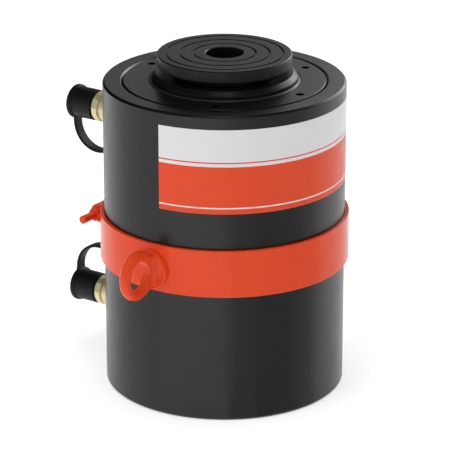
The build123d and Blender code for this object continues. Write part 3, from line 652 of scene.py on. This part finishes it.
# %% Turn the saddle
BALL_R = 85.0
SEAT_GAP = 0.1
SEAT_T = 2.8
BALL_Z = POCKET_FLOOR + SEAT_GAP + SEAT_T + BALL_R
SADDLE_BORE_R = 21.6
SADDLE_NECK_R = 60.0
SADDLE_RIM_LOW = SADDLE_TOP - 13.9
SADDLE_EDGE = 1
GROOVE_RADII = (67.2, 51.5, 35.7)
GROOVE_HALF = 1.2
GROOVE_FLOOR_HALF = 1.15
GROOVE_FLOOR = SADDLE_TOP - 2.2


def ball_height(radius):
    """Height of the foot's curve at a radius from the axis."""
    return BALL_Z - math.sqrt(BALL_R ** 2 - radius ** 2)


foot_steps = 12
foot = []
for step in range(foot_steps + 1):
    radius = SADDLE_BORE_R + (SADDLE_NECK_R - SADDLE_BORE_R) * step / foot_steps
    foot.append((radius, ball_height(radius)))
grooves = []
for radius in GROOVE_RADII:
    grooves += [(radius + GROOVE_HALF, SADDLE_TOP), (radius + GROOVE_FLOOR_HALF, GROOVE_FLOOR),
                (radius - GROOVE_FLOOR_HALF, GROOVE_FLOOR), (radius - GROOVE_HALF, SADDLE_TOP)]
saddle = turned(foot + [
    (SADDLE_NECK_R, SADDLE_RIM_LOW), (SADDLE_R - SADDLE_EDGE, SADDLE_RIM_LOW),
    (SADDLE_R, SADDLE_RIM_LOW + SADDLE_EDGE), (SADDLE_R, SADDLE_TOP - SADDLE_EDGE),
    (SADDLE_R - SADDLE_EDGE, SADDLE_TOP)] + grooves + [
    (SADDLE_BORE_R + SADDLE_EDGE, SADDLE_TOP), (SADDLE_BORE_R, SADDLE_TOP - SADDLE_EDGE)], 224)
soften(saddle, 0.3, 30, 2)
dressed("load_saddle", saddle, BLACKENED, "black_oxide", "saddle", "saddle")

# %% [markdown]
# ## The lifting band
#
# The band is a flat steel hoop with a gap, and two lugs at the gap take
# the clamp bolt. The hoop is a rectangle that is spun almost all the way
# round. Each lug is a tube on a web with a wider foot. They are joined
# and remeshed, so that the weld between them is a soft hollow.

# %% Bend the hoop
BAND_INNER_R = BAND_R - 4.7
SPLIT = 16.0
BAND_EDGE = 0.6


def hoop():
    """The open hoop, its gap towards the couplers."""
    section = [(BAND_INNER_R, BAND_LOW), (BAND_R, BAND_LOW), (BAND_R, BAND_HIGH), (BAND_INNER_R, BAND_HIGH)]
    half_gap = math.asin(SPLIT / 2 / BAND_INNER_R)
    return soften(bent(section, half_gap - math.pi, math.tau - 2 * half_gap, 256), BAND_EDGE, 40)


# %% [markdown]
# The lug is made at the band's gap, on the side given by `side`. The tube
# lies along Y, and the foot hugs the hoop.

# %% Lugs
LUG_REACH = BAND_R + 11.5
LUG_LENGTH = 31.0
LUG_TUBE_R = 11.0
LUG_ROOT = BARREL_R - 10
FOOT_REACH = BAND_R + 11
FOOT_HALF_H = 22
FOOT_TOE = 3
BOLT_HOLE_R = 5.2


def block(one, two):
    """A box between two opposite corners in mm."""
    mesh = bmesh.new()
    bmesh.ops.create_cube(mesh, size=1)
    size = [abs(b - a) * MM for a, b in zip(one, two)]
    middle = [(a + b) / 2 * MM for a, b in zip(one, two)]
    bmesh.ops.scale(mesh, vec=size, verts=mesh.verts)
    bmesh.ops.translate(mesh, vec=middle, verts=mesh.verts)
    return mesh


def lug(side):
    """One clamp lug, melted from a tube, a web and a foot."""
    near = side * SPLIT / 2
    far = side * (SPLIT / 2 + LUG_LENGTH)
    half = LUG_LENGTH / 2
    across = position(-LUG_REACH, (near + far) / 2, BAND_MID) @ rotation(90, "X")
    shape = moved(bar(LUG_TUBE_R, -half, half, 96), across)
    web = block((-LUG_REACH, near, BAND_MID - LUG_TUBE_R), (-LUG_ROOT, far, BAND_MID + LUG_TUBE_R))
    foot = block((-FOOT_REACH, near, BAND_MID - FOOT_HALF_H), (-LUG_ROOT, far, BAND_MID + FOOT_HALF_H))
    outer = [vert for vert in foot.verts if vert.co.x < -(BAND_R + FOOT_TOE) * MM]
    for vert in outer:
        vert.co.z = BAND_MID * MM + (LUG_TUBE_R if vert.co.z > BAND_MID * MM else -LUG_TUBE_R) * MM
    shape = combined(shape, web, "UNION")
    shape = combined(shape, foot, "UNION")
    shape = melted(shape, 0.6, 8)
    inside = bar(BAND_INNER_R + 1, BAND_LOW - 1, BAND_HIGH + 1, 256)
    return combined(shape, inside, "DIFFERENCE")


# %% Join hoop and lugs, and drill them for the bolt
band = hoop()
for side in (-1, 1):
    band = combined(band, lug(side), "UNION")
across_bolt = position(-LUG_REACH, 0, BAND_MID) @ rotation(90, "X")
band = combined(band, moved(bar(BOLT_HOLE_R, -60, 60, 48), across_bolt), "DIFFERENCE")
dressed("hoop", band, ORANGE, "orange_paint", "barrel", "lifting_band")

# %% [markdown]
# The clamp bolt goes through both lugs. Its nut is on the front side, and
# the bolt's plain end stands out of it.

# %% Bolt and nut
LUG_OUTER = SPLIT / 2 + LUG_LENGTH
BOLT_R = 4.76
BOLT_END = -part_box("band_bolt")[0].y / MM
BOLT_CHAMFER = 0.6
NUT_CORNER_R = corner_radius(14.3)
NUT_H = 8.3
HEAD_H = 6.2
TURNED_SHARE = 0.9
shank = turned([(0, -LUG_OUTER - 1), (BOLT_R, -LUG_OUTER - 1), (BOLT_R, BOLT_END - BOLT_CHAMFER),
                (BOLT_R - BOLT_CHAMFER, BOLT_END), (0, BOLT_END)], 64)
soften(shank, 0.15, 30, 2)
head = hexagon(NUT_CORNER_R, -LUG_OUTER - HEAD_H, -LUG_OUTER, 0, NUT_CORNER_R * TURNED_SHARE)
bolt = combined(shank, head, "UNION")
dressed("clamp_bolt", moved(bolt, across_bolt), ORANGE, "orange_paint", "barrel", "band_bolt")
nut = hexagon(NUT_CORNER_R, LUG_OUTER, LUG_OUTER + NUT_H, 0, NUT_CORNER_R * TURNED_SHARE)
nut = combined(nut, bar(BOLT_R + THREAD_GAP, LUG_OUTER - 1, LUG_OUTER + NUT_H + 1, 64), "DIFFERENCE")
dressed("clamp_nut", moved(nut, across_bolt), ORANGE, "orange_paint", "barrel", "band_nut")

# %% [markdown]
# ## The lifting eyes
#
# Each eye is a forging: a ring of round bar that flares into a round boss
# on the band. A ring, a flared web and a boss are joined, then remeshed and
# smoothed, so that metal flows from one into the other without a seam. The
# boss was faced on a lathe afterwards, so a crisp disc is joined on again.

# %% Forge the eyes
EYE_REACH = BAND_R + 25.7
EYE_RING_R = 22.7
EYE_BAR_R = 6.3
EYE_BOSS_R = 23.0
EYE_BOSS_T = 4.5
EYE_BOSS_EDGE = 1.6
EYE_FACED_EDGE = 1.2
EYE_WEB_R = EYE_RING_R + EYE_BAR_R - 2.6
EYE_HEIGHT = mid_height("lifting_eye_front")
EYE_FACE = BAND_R + EYE_BOSS_T
WELD_GAP = 0.05


def eye_ring():
    """A ring of round bar: a circle spun round the eye's own axis."""
    mesh = bmesh.new()
    bmesh.ops.create_circle(mesh, cap_ends=False, segments=32, radius=EYE_BAR_R * MM)
    bmesh.ops.translate(mesh, verts=mesh.verts, vec=(0, EYE_RING_R * MM, 0))
    bmesh.ops.spin(mesh, geom=mesh.verts[:] + mesh.edges[:], cent=(0, 0, 0), axis=(1, 0, 0),
                   angle=math.tau, steps=96, use_merge=True)
    bmesh.ops.remove_doubles(mesh, verts=mesh.verts, dist=0.001 * MM)
    bmesh.ops.recalc_face_normals(mesh, faces=mesh.faces)
    bmesh.ops.translate(mesh, verts=mesh.verts, vec=(0, 0, EYE_REACH * MM))
    return mesh


def across_eye(radius, half_width):
    """A round bar about the eye's own axis, which lies along X."""
    place = position(0, 0, EYE_REACH) @ rotation(90, "Y")
    return moved(bar(radius, -half_width, half_width, 128), place)


def flared_web():
    """The web between ring and boss: its sides sweep out to the boss's face."""
    # Half widths of the web at heights above the boss's face
    sweep = [(10.4, -1), (10.2, 0), (8.0, 0.8), (6.6, 2.4), (5.8, 5), (5.5, 10)]
    side = [(half_width, EYE_FACE + rise) for half_width, rise in sweep]
    outline = side + [(-x, z) for x, z in reversed(side)]
    mesh = bmesh.new()
    mesh.faces.new([mesh.verts.new((x * MM, -EYE_BOSS_R * MM, z * MM)) for x, z in outline])
    extruded(mesh, (0, 2 * EYE_BOSS_R, 0))
    return combined(mesh, across_eye(EYE_WEB_R, 15), "INTERSECT")


def boss_disc(edge):
    """The round boss, with a chamfer of the given size at its face."""
    return turned([(0, BARREL_R), (EYE_BOSS_R, BARREL_R), (EYE_BOSS_R, EYE_FACE - edge),
                   (EYE_BOSS_R - edge, EYE_FACE), (0, EYE_FACE)], 128)


def eye(side):
    """The eye at the front (-1) or at the back (1) of the band."""
    shape = combined(boss_disc(EYE_BOSS_EDGE), flared_web(), "UNION")
    shape = combined(shape, across_eye(EYE_RING_R - EYE_BAR_R, 45), "DIFFERENCE")
    shape = combined(shape, eye_ring(), "UNION")
    shape = melted(shape, 0.6, 8)
    shape = combined(shape, soften(boss_disc(EYE_FACED_EDGE), 0.4, 30, 2), "UNION")
    shape = moved(shape, position(0, 0, EYE_HEIGHT) @ rotation(-90 * side, "X"))
    return combined(shape, bar(BAND_R + WELD_GAP, BAND_LOW - PAST, BAND_HIGH + PAST, 256), "DIFFERENCE")


dressed("eye_front", eye(-1), ORANGE, "orange_paint", "barrel", "lifting_eye_front")
dressed("eye_rear", eye(1), ORANGE, "orange_paint", "barrel", "lifting_eye_rear")

# %% [markdown]
# ## Nipples and couplers
#
# A brass hexagon nipple joins each port to its coupler. The coupler has a
# round shoulder, a groove, a hexagon and a threaded nose, and it is bored
# through for the poppet that keeps the oil in. The nose's thread is made
# of many small ridges in the half section, which is how a thread looks
# from outside.

# %% Nipples
NIPPLE_HEX_END = SPOT_FACE_REACH + 8.8
NIPPLE_NECK_R = 9.5
STEM_R = PORT_THREAD_R - THREAD_GAP
THREAD_PITCH = 1.4
THREAD_DEPTH = 0.7
NIPPLE_START = start_reach("advance_port_nipple")
NIPPLE_END = reach("advance_port_nipple")
NIPPLE_CORNER_R = corner_radius(25.4)


def thread_ridges(radius, low, high, pitch, depth):
    """Corners of a half section that zigzag like a thread."""
    corners = []
    count = round((high - low) / pitch)
    for turn in range(count):
        start = low + (high - low) * turn / count
        corners += [(radius - depth, start), (radius, start + (high - low) / count / 2)]
    return corners + [(radius - depth, high)]


def nipple(height):
    """The nipple: two threaded stems, a plain neck and a hexagon."""
    body = turned([(PORT_DRILL_R, NIPPLE_START), (STEM_R - 1, NIPPLE_START)]
                  + thread_ridges(STEM_R, NIPPLE_START + 1, SPOT_FACE_REACH - 2, THREAD_PITCH, THREAD_DEPTH)
                  + [(STEM_R, SPOT_FACE_REACH), (NIPPLE_NECK_R, SPOT_FACE_REACH),
                     (NIPPLE_NECK_R, COUPLER_START), (STEM_R, COUPLER_START)]
                  + thread_ridges(STEM_R, COUPLER_START + 1.5, NIPPLE_END - 1, THREAD_PITCH, THREAD_DEPTH)
                  + [(STEM_R - 1, NIPPLE_END), (PORT_DRILL_R, NIPPLE_END)], 96)
    nut_part = hexagon(NIPPLE_CORNER_R, SPOT_FACE_REACH, NIPPLE_HEX_END, 0, NIPPLE_CORNER_R * TURNED_SHARE)
    hole = bar(PORT_DRILL_R + 1, SPOT_FACE_REACH - 1, NIPPLE_HEX_END + 1)
    return outward(combined(body, combined(nut_part, hole, "DIFFERENCE"), "UNION"), height)


# %% Couplers
SHOULDER_R = 18.3
TURNED_EDGE = 1.2
GROOVE_R = 16.0
GROOVE_START = COUPLER_START + 18.5
HEX_START = GROOVE_START + 2
HEX_END = HEX_START + 7.8
HEX_CORNER_R = 20.3
HEX_TURNED_R = 18.4
HEX_EDGE = 0.5
HEX_TURN = 144
NOSE_R = 14.6
NOSE_PITCH = 1.6
NOSE_DEPTH = 0.8
COUPLER_THREAD_END = COUPLER_START + 13
CHAMBER_R = 9
CHAMBER_START = COUPLER_START + 15
SEAT_START = COUPLER_END - 15
SEAT_END = SEAT_START + 3
SEAT_HOLE_R = 6.2
SOCKET_R = 9.6
SOCKET_START = COUPLER_END - 9
SEAL_GROOVE_R = 11.2
SEAL_LOW = COUPLER_END - 6
SEAL_HIGH = COUPLER_END - 3.4


def coupler(height):
    """The coupler half, bored for its valve."""
    outside = turned([(0, COUPLER_START), (SHOULDER_R - TURNED_EDGE, COUPLER_START),
                      (SHOULDER_R, COUPLER_START + TURNED_EDGE), (SHOULDER_R, GROOVE_START - TURNED_EDGE),
                      (SHOULDER_R - TURNED_EDGE, GROOVE_START), (GROOVE_R, GROOVE_START),
                      (GROOVE_R, HEX_START + 1), (NOSE_R, HEX_START + 1), (NOSE_R, HEX_END + 2)]
                     + thread_ridges(NOSE_R, HEX_END + 2.5, COUPLER_END - 2.5, NOSE_PITCH, NOSE_DEPTH)
                     + [(NOSE_R, COUPLER_END - 2), (NOSE_R, COUPLER_END - TURNED_EDGE),
                        (NOSE_R - TURNED_EDGE, COUPLER_END), (0, COUPLER_END)], 128)
    soften(outside, 0.25, 60, 2)
    face_r = HEX_TURNED_R - HEX_EDGE
    blank = turned([(0, HEX_START), (face_r, HEX_START), (HEX_TURNED_R, HEX_START + HEX_EDGE),
                    (HEX_TURNED_R, HEX_END - HEX_EDGE), (face_r, HEX_END), (0, HEX_END)], 128)
    flats = hexagon(HEX_CORNER_R, HEX_START - 1, HEX_END + 1, HEX_TURN)
    body = combined(outside, combined(blank, flats, "INTERSECT"), "UNION")
    inside = turned([(0, COUPLER_START - 1), (PORT_THREAD_R, COUPLER_START - 1),
                     (PORT_THREAD_R, COUPLER_THREAD_END), (CHAMBER_R, CHAMBER_START), (CHAMBER_R, SEAT_START),
                     (SEAT_HOLE_R, SEAT_END), (SEAT_HOLE_R, SOCKET_START), (SOCKET_R, SOCKET_START)]
                    + notch(SOCKET_R, SEAL_GROOVE_R, SEAL_LOW, SEAL_HIGH)
                    + [(SOCKET_R, COUPLER_END + 1), (0, COUPLER_END + 1)], 96)
    return outward(combined(body, inside, "DIFFERENCE"), height)


for port, height in PORT_HEIGHTS.items():
    dressed(port + "_nipple_brass", nipple(height), BRASS, "brass", "barrel", port + "_port_nipple")
    dressed(port + "_coupler_brass", coupler(height), BRASS, "brass", "barrel", port + "_coupler_body")

# %% [markdown]
# ## Dust caps and straps
#
# Each coupler is closed by a moulded rubber cap, and a flat strap ties the
# cap to a ring on the nipple's neck. Cap, flange and tab come from one
# mould, so they are joined and remeshed into one soft skin. The strap is a
# rounded flat band that is spun half a turn.

# %% Caps
CAP_R = 18.5
CAP_FLANGE_R = 20.5
CAP_BORE_R = 14.9
CAP_BORE_END = CAP_END - 7.5
CAP_FLANGE_START = CAP_END - 5
CAP_FLANGE_SLOPE = 2
CAP_MOUTH_EDGE = 0.6
CAP_EDGE = 1.2
STRAP_RING_R = 17
STRAP_RING_T = 3.6
STRAP_W = 13.2
STRAP_T = 3.5
STRAP_TAB_R = CAP_FLANGE_R + 3
RING_REACH = (NIPPLE_HEX_END + COUPLER_START) / 2
CAP_REACH = CAP_END - 2.5


def tab(middle, from_r, strap_side):
    """The block between a ring or cap and the strap's end."""
    inner = -strap_side * from_r
    outer = -strap_side * (STRAP_TAB_R + 0.2)
    half_w = STRAP_W / 2
    half_t = STRAP_T / 2
    return block((inner, -half_w, middle - half_t), (outer, half_w, middle + half_t))


def dust_cap(height, strap_side):
    """The moulded cap: its shell and tab melted into one, then hollowed."""
    shell = turned([(0, CAP_START), (CAP_R - CAP_MOUTH_EDGE, CAP_START), (CAP_R, CAP_START + CAP_MOUTH_EDGE),
                    (CAP_R, CAP_FLANGE_START - CAP_FLANGE_SLOPE), (CAP_FLANGE_R, CAP_FLANGE_START),
                    (CAP_FLANGE_R, CAP_END - CAP_EDGE), (CAP_FLANGE_R - CAP_EDGE, CAP_END),
                    (0, CAP_END)], 128)
    shell = combined(shell, tab(CAP_REACH, CAP_R - 2, strap_side), "UNION")
    shell = melted(shell, 0.5, 4)
    hollow = bar(CAP_BORE_R, CAP_START - 2, CAP_BORE_END, 96)
    return outward(combined(shell, hollow, "DIFFERENCE"), height)


def strap_ring(height, strap_side):
    """The flat ring round the nipple's neck, with the strap's other tab."""
    low = RING_REACH - STRAP_RING_T / 2
    ring = bar(STRAP_RING_R, low, low + STRAP_RING_T, 128)
    ring = combined(ring, tab(RING_REACH, STRAP_RING_R - 4, strap_side), "UNION")
    ring = melted(ring, 0.4, 3)
    hole = bar(NIPPLE_NECK_R + 0.1, low - 2, low + 6)
    return outward(combined(ring, hole, "DIFFERENCE"), height)


def strap(height, strap_side):
    """Half a turn of a flat band, from the ring's tab to the cap's."""
    mesh = bmesh.new()
    bmesh.ops.create_grid(mesh, x_segments=1, y_segments=1, size=0.5)
    bmesh.ops.scale(mesh, vec=(STRAP_T * MM, STRAP_W * MM, 1), verts=mesh.verts)
    loop_r = (CAP_REACH - RING_REACH) / 2
    bmesh.ops.translate(mesh, vec=(loop_r * MM, 0, 0), verts=mesh.verts)
    bmesh.ops.spin(mesh, geom=mesh.faces[:], cent=(0, 0, 0), axis=(0, -strap_side, 0),
                   angle=math.pi, steps=64)
    bmesh.ops.recalc_face_normals(mesh, faces=mesh.faces)
    soften(mesh, 1.2, 60, 4)
    middle = (CAP_REACH + RING_REACH) / 2
    start = height + strap_side * STRAP_TAB_R
    bmesh.ops.translate(mesh, vec=(-middle * MM, 0, start * MM), verts=mesh.verts)
    return mesh


for port, height in PORT_HEIGHTS.items():
    strap_side = STRAP_SIDES[port]
    dressed(port + "_cap_rubber", dust_cap(height, strap_side), RUBBER, "cap_rubber", port + "_cap",
            port + "_dust_cap")
    dressed(port + "_ring_rubber", strap_ring(height, strap_side), RUBBER, "cap_rubber", "barrel",
            port + "_strap_ring")
    band_piece = made(port + "_strap_rubber", strap(height, strap_side), RUBBER)
    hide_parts(port + "_cap_strap")
    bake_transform(band_piece)

# %% [markdown]
# ## Poppet springs
#
# A coil spring is a small circle that is spun several turns while it
# climbs. The spin operator's `dvec` gives the climb of each step.

# %% Wind the springs
SPRING_R = 5.6
SPRING_WIRE_R = 0.6
SPRING_TURNS = 4
SPRING_STEPS = 32 * SPRING_TURNS


def coil(low, high):
    """A coil along X that fills the box of a CAD spring."""
    length = (high.x - low.x) / MM - 2 * SPRING_WIRE_R
    mesh = bmesh.new()
    bmesh.ops.create_circle(mesh, cap_ends=True, segments=12, radius=SPRING_WIRE_R * MM)
    bmesh.ops.rotate(mesh, verts=mesh.verts, matrix=Matrix.Rotation(math.pi / 2, 3, "X"))
    bmesh.ops.translate(mesh, vec=(SPRING_R * MM, 0, 0), verts=mesh.verts)
    climb = (0, 0, length * MM / SPRING_STEPS)
    bmesh.ops.spin(mesh, geom=mesh.faces[:], cent=(0, 0, 0), axis=(0, 0, 1), dvec=climb,
                   angle=math.tau * SPRING_TURNS, steps=SPRING_STEPS)
    bmesh.ops.recalc_face_normals(mesh, faces=mesh.faces)
    middle = (low + high) / 2
    place = Matrix.Translation((high.x - SPRING_WIRE_R * MM, middle.y, middle.z))
    return moved(mesh, place @ rotation(-90, "Y"))


for port in PORT_HEIGHTS:
    low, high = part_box(port + "_poppet_spring")
    spring = made(port + "_coil", coil(low, high), BRIGHT)
    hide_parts(port + "_poppet_spring")
    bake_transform(spring)

# %% [markdown]
# ## The label
#
# A printed vinyl label lies on the barrel's upper half. It is a thin
# curved sheet, and its print follows its own UV map: a light field above,
# an orange field below and two thin lines.

# %% Print the label
LABEL_START = -86.5
LABEL_END = 40.0
LABEL_LOW = 251.0
LABEL_HIGH = 349.5
LABEL_T = 0.15
LABEL_GAP = 0.02


def label_sheet():
    """A thin curved sheet with a UV map along its arc and height."""
    section = [(BARREL_R + LABEL_GAP, LABEL_LOW), (BARREL_R + LABEL_T, LABEL_LOW),
               (BARREL_R + LABEL_T, LABEL_HIGH), (BARREL_R + LABEL_GAP, LABEL_HIGH)]
    mesh = bent(section, math.radians(LABEL_START), math.radians(LABEL_END - LABEL_START), 128)
    layer = mesh.loops.layers.uv.new("print")
    for face in mesh.faces:
        for loop in face.loops:
            angle = math.degrees(math.atan2(loop.vert.co.y, loop.vert.co.x))
            across = (angle - LABEL_START) / (LABEL_END - LABEL_START)
            up = (loop.vert.co.z / MM - LABEL_LOW) / (LABEL_HIGH - LABEL_LOW)
            loop[layer].uv = (across, up)
    return mesh


# %% [markdown]
# The print is made with a colour ramp over the label's height. Its stops
# are constant, so each colour ends at a clean line.

# %% The label's ink
PAPER = (0.76, 0.76, 0.77, 1)
INK = (0.78, 0.068, 0.016, 1)
# Each colour starts at this share of the label's height
PRINT_STOPS = ((0.0, INK), (0.06, PAPER), (0.075, INK), (0.56, PAPER), (0.60, INK), (0.615, PAPER))


def label_print():
    """The label's vinyl, with its fields and lines."""
    material, shader = finish_tree("label_vinyl", PAPER[:3], 0.3)
    shader.inputs["Specular IOR Level"].default_value = 0.25
    nodes = material.node_tree.nodes
    links = material.node_tree.links
    uv = nodes.new("ShaderNodeUVMap")
    uv.uv_map = "print"
    parts = nodes.new("ShaderNodeSeparateXYZ")
    ramp = nodes.new("ShaderNodeValToRGB")
    ramp.color_ramp.interpolation = "CONSTANT"
    elements = ramp.color_ramp.elements
    elements[0].position, elements[0].color = PRINT_STOPS[0]
    elements[1].position, elements[1].color = PRINT_STOPS[1]
    for share, colour in PRINT_STOPS[2:]:
        elements.new(share).color = colour
    links.new(uv.outputs["UV"], parts.inputs["Vector"])
    links.new(parts.outputs["Y"], ramp.inputs["Fac"])
    links.new(ramp.outputs["Color"], shader.inputs["Base Color"])
    uneven_gloss(material, shader, 50, 0.27, 0.34)
    grain(material, shader, 900, 0.003)
    return material


dressed("front_label", label_sheet(), label_print(), "orange_paint", "barrel")

# %% [markdown]
# ## Inner pieces
#
# The seals, rings, piston and valves stay as the CAD made them, because
# their shape is right. They only get a finish. Most are hidden until the
# rod comes out or a cap comes off.

# %% Finish the CAD nodes that stay
INNER_FINISHES = {
    "gland_o_ring": SEAL, "rod_seal": SEAL, "piston_seal": SEAL, "piston_o_ring": SEAL,
    "gland_backup_ring": NYLON, "rod_backup_ring": NYLON, "piston_backup_rings": NYLON,
    "piston_wear_rings": NYLON, "rod_bearing": BRONZE, "piston_head": BRIGHT, "piston_nut": BRIGHT,
    "piston_nut_screw": BRIGHT, "saddle_seat": BLACKENED, "relief_valve": BLACKENED,
}
for port in PORT_HEIGHTS:
    INNER_FINISHES[port + "_coupler_seal"] = SEAL
    INNER_FINISHES[port + "_spring_guide"] = BRIGHT
    INNER_FINISHES[port + "_poppet"] = BRIGHT
for node, material in INNER_FINISHES.items():
    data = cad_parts[node].data
    data.materials.clear()
    data.materials.append(material)
print(len(INNER_FINISHES), "CAD nodes finished")

# %% [markdown]
# ## The studio
#
# The photograph shows the cylinder on plain white, lit by soft light from
# all round, with a broader highlight on its right. A large pale floor that
# glows a little gives the white ground.

# %% Floor
FLOOR_GLOW = 0.46


def glowing(shader, strength):
    """Makes a surface matt and lets it shine by itself."""
    shader.inputs["Specular IOR Level"].default_value = 0.0
    shader.inputs["Emission Color"].default_value = (1, 1, 1, 1)
    shader.inputs["Emission Strength"].default_value = strength


def studio_floor():
    """A wide round floor under the cylinder."""
    mesh = bmesh.new()
    bmesh.ops.create_circle(mesh, cap_ends=True, segments=96, radius=5)
    floor = as_object(mesh, "studio_floor")
    material, shader = finish_tree("floor_paint", (0.9, 0.9, 0.9), 0.9)
    tint(material, shader, 3, (0.895, 0.895, 0.895), (0.905, 0.905, 0.905))
    glowing(shader, FLOOR_GLOW)
    floor.data.materials.append(material)


studio_floor()

# %% [markdown]
# A light world and two big softboxes give the even light. They are hidden
# from reflections, because black enamel shows every lamp as a stripe. Three
# more lamps are seen in reflections only, and draw the highlights on
# the barrel's edges and the rod's chamfer. Cards do the opposite: they dim
# what the enamel mirrors, and nothing else in the scene sees them.

# %% World, lamps and cards
# The camera's direction round Z, counted from X
CAMERA_ANGLE = math.radians(-55)
CARD_REACH = 1.6
LAMPS_LOOK_AT = Vector((0, 0, 0.2))


def studio_world(strength):
    """An even white world."""
    world = bpy.data.worlds.new("studio")
    world.use_nodes = True
    background = world.node_tree.nodes["Background"]
    background.inputs["Color"].default_value = (1, 1, 1, 1)
    background.inputs["Strength"].default_value = strength
    bpy.context.scene.world = world


def softbox(name, place, size, power, glossy=True, diffuse=True):
    """A square area light that looks at the cylinder."""
    data = bpy.data.lights.new(name, "AREA")
    data.shape = "SQUARE"
    data.size = size
    data.energy = power
    lamp = bpy.data.objects.new(name, data)
    lamp.location = place
    lamp.rotation_euler = (LAMPS_LOOK_AT - Vector(place)).to_track_quat("-Z", "Y").to_euler()
    lamp.visible_glossy = glossy
    lamp.visible_diffuse = diffuse
    bpy.context.scene.collection.objects.link(lamp)


def card(name, mesh, glow):
    """A card that only reflections see: the camera and the light pass it."""
    item = as_object(mesh, name)
    material, shader = finish_tree(name + "_felt", (0, 0, 0), 0.9)
    glowing(shader, glow)
    item.data.materials.append(material)
    item.visible_camera = False
    item.visible_diffuse = False
    item.visible_shadow = False


def floor_card(name, start, end, glow, height):
    """A grey card just above the floor that dims the barrel from one angle to another.

    Each of its spokes leaves the barrel where the camera sees that spoke mirrored,
    so the dimmed strip on the barrel is as wide at the bottom as at the top.
    """
    steps = 24
    spokes = []
    mesh = bmesh.new()
    for step in range(steps + 1):
        place = math.radians(start + (end - start) * step / steps)
        mirrored = 2 * place - CAMERA_ANGLE
        inner = Vector((math.cos(place), math.sin(place), 0)) * (BARREL_R + 3) * MM
        outer = inner + Vector((math.cos(mirrored), math.sin(mirrored), 0)) * CARD_REACH
        spokes.append([mesh.verts.new(corner + Vector((0, 0, height))) for corner in (inner, outer)])
    for one, two in zip(spokes, spokes[1:]):
        mesh.faces.new((one[0], one[1], two[1], two[0]))
    card(name, mesh, glow)


def ceiling_card(height, radius):
    """A black disc under the ceiling, so that upward faces mirror no light."""
    mesh = bmesh.new()
    bmesh.ops.create_circle(mesh, cap_ends=True, segments=64, radius=radius)
    bmesh.ops.translate(mesh, vec=(0, 0, height), verts=mesh.verts)
    card("ceiling_card", mesh, 0.0)


def left_flag(start, end, low, high, distance):
    """A dark screen on the left that keeps the upper light off the turned edges."""
    mesh = bmesh.new()
    edge = mesh.edges.new([mesh.verts.new((distance, 0, height)) for height in (low, high)])
    turn = Matrix.Rotation(math.radians(start), 3, "Z")
    bmesh.ops.rotate(mesh, verts=mesh.verts, matrix=turn)
    bmesh.ops.spin(mesh, geom=[edge], cent=(0, 0, 0), axis=(0, 0, 1),
                   angle=math.radians(end - start), steps=12)
    card("left_flag", mesh, 0.0)


studio_world(0.37)
softbox("overhead", (0, 0, 3), 4, 62, glossy=False)
softbox("front_fill", (-0.9, -2.8, 1.4), 1.5, 16, glossy=False)
softbox("front_high", (0.49, -0.70, 2.7), 0.9, 3, diffuse=False)
softbox("right_back", (0.45, 2.5, 1.1), 2, 29, diffuse=False)
softbox("back_strip", (-0.2, 1.3, 0.95), 0.8, 3.0, diffuse=False)
floor_card("left_card", -117, -86, 0.92, 0.001)
floor_card("wide_card", -53, -6, 0.60, 0.001)
floor_card("dark_card", -40, -17, 0.44, 0.002)
left_flag(143, 215, 0.25, 1.7, 1.8)
ceiling_card(2.9, 3.6)
bpy.context.scene.view_settings.view_transform = "Standard"

# %% [markdown]
# ## The camera
#
# The camera stands where the photograph was taken from. That place was
# solved from its circles and edges: 20.3 degrees above the floor, 35
# degrees round, a little over 3 metres away, with a long lens.

# %% Camera
AZIMUTH = math.radians(35)
ELEVATION = math.radians(20.322)
DISTANCE = 3.1512
LOOK_AT = Vector((0, 0, 0.18689))
toward = Vector((math.sin(AZIMUTH) * math.cos(ELEVATION), -math.cos(AZIMUTH) * math.cos(ELEVATION),
                 math.sin(ELEVATION)))
camera_data = bpy.data.cameras.new("photo_camera")
camera_data.lens = 215.84
camera_data.sensor_width = 36
camera_data.shift_x = 0.001
camera_data.clip_end = 50
camera = bpy.data.objects.new("photo_camera", camera_data)
camera.location = LOOK_AT + toward * DISTANCE
camera.rotation_euler = (-toward).to_track_quat("-Z", "Y").to_euler()
bpy.context.scene.collection.objects.link(camera)
bpy.context.scene.camera = camera
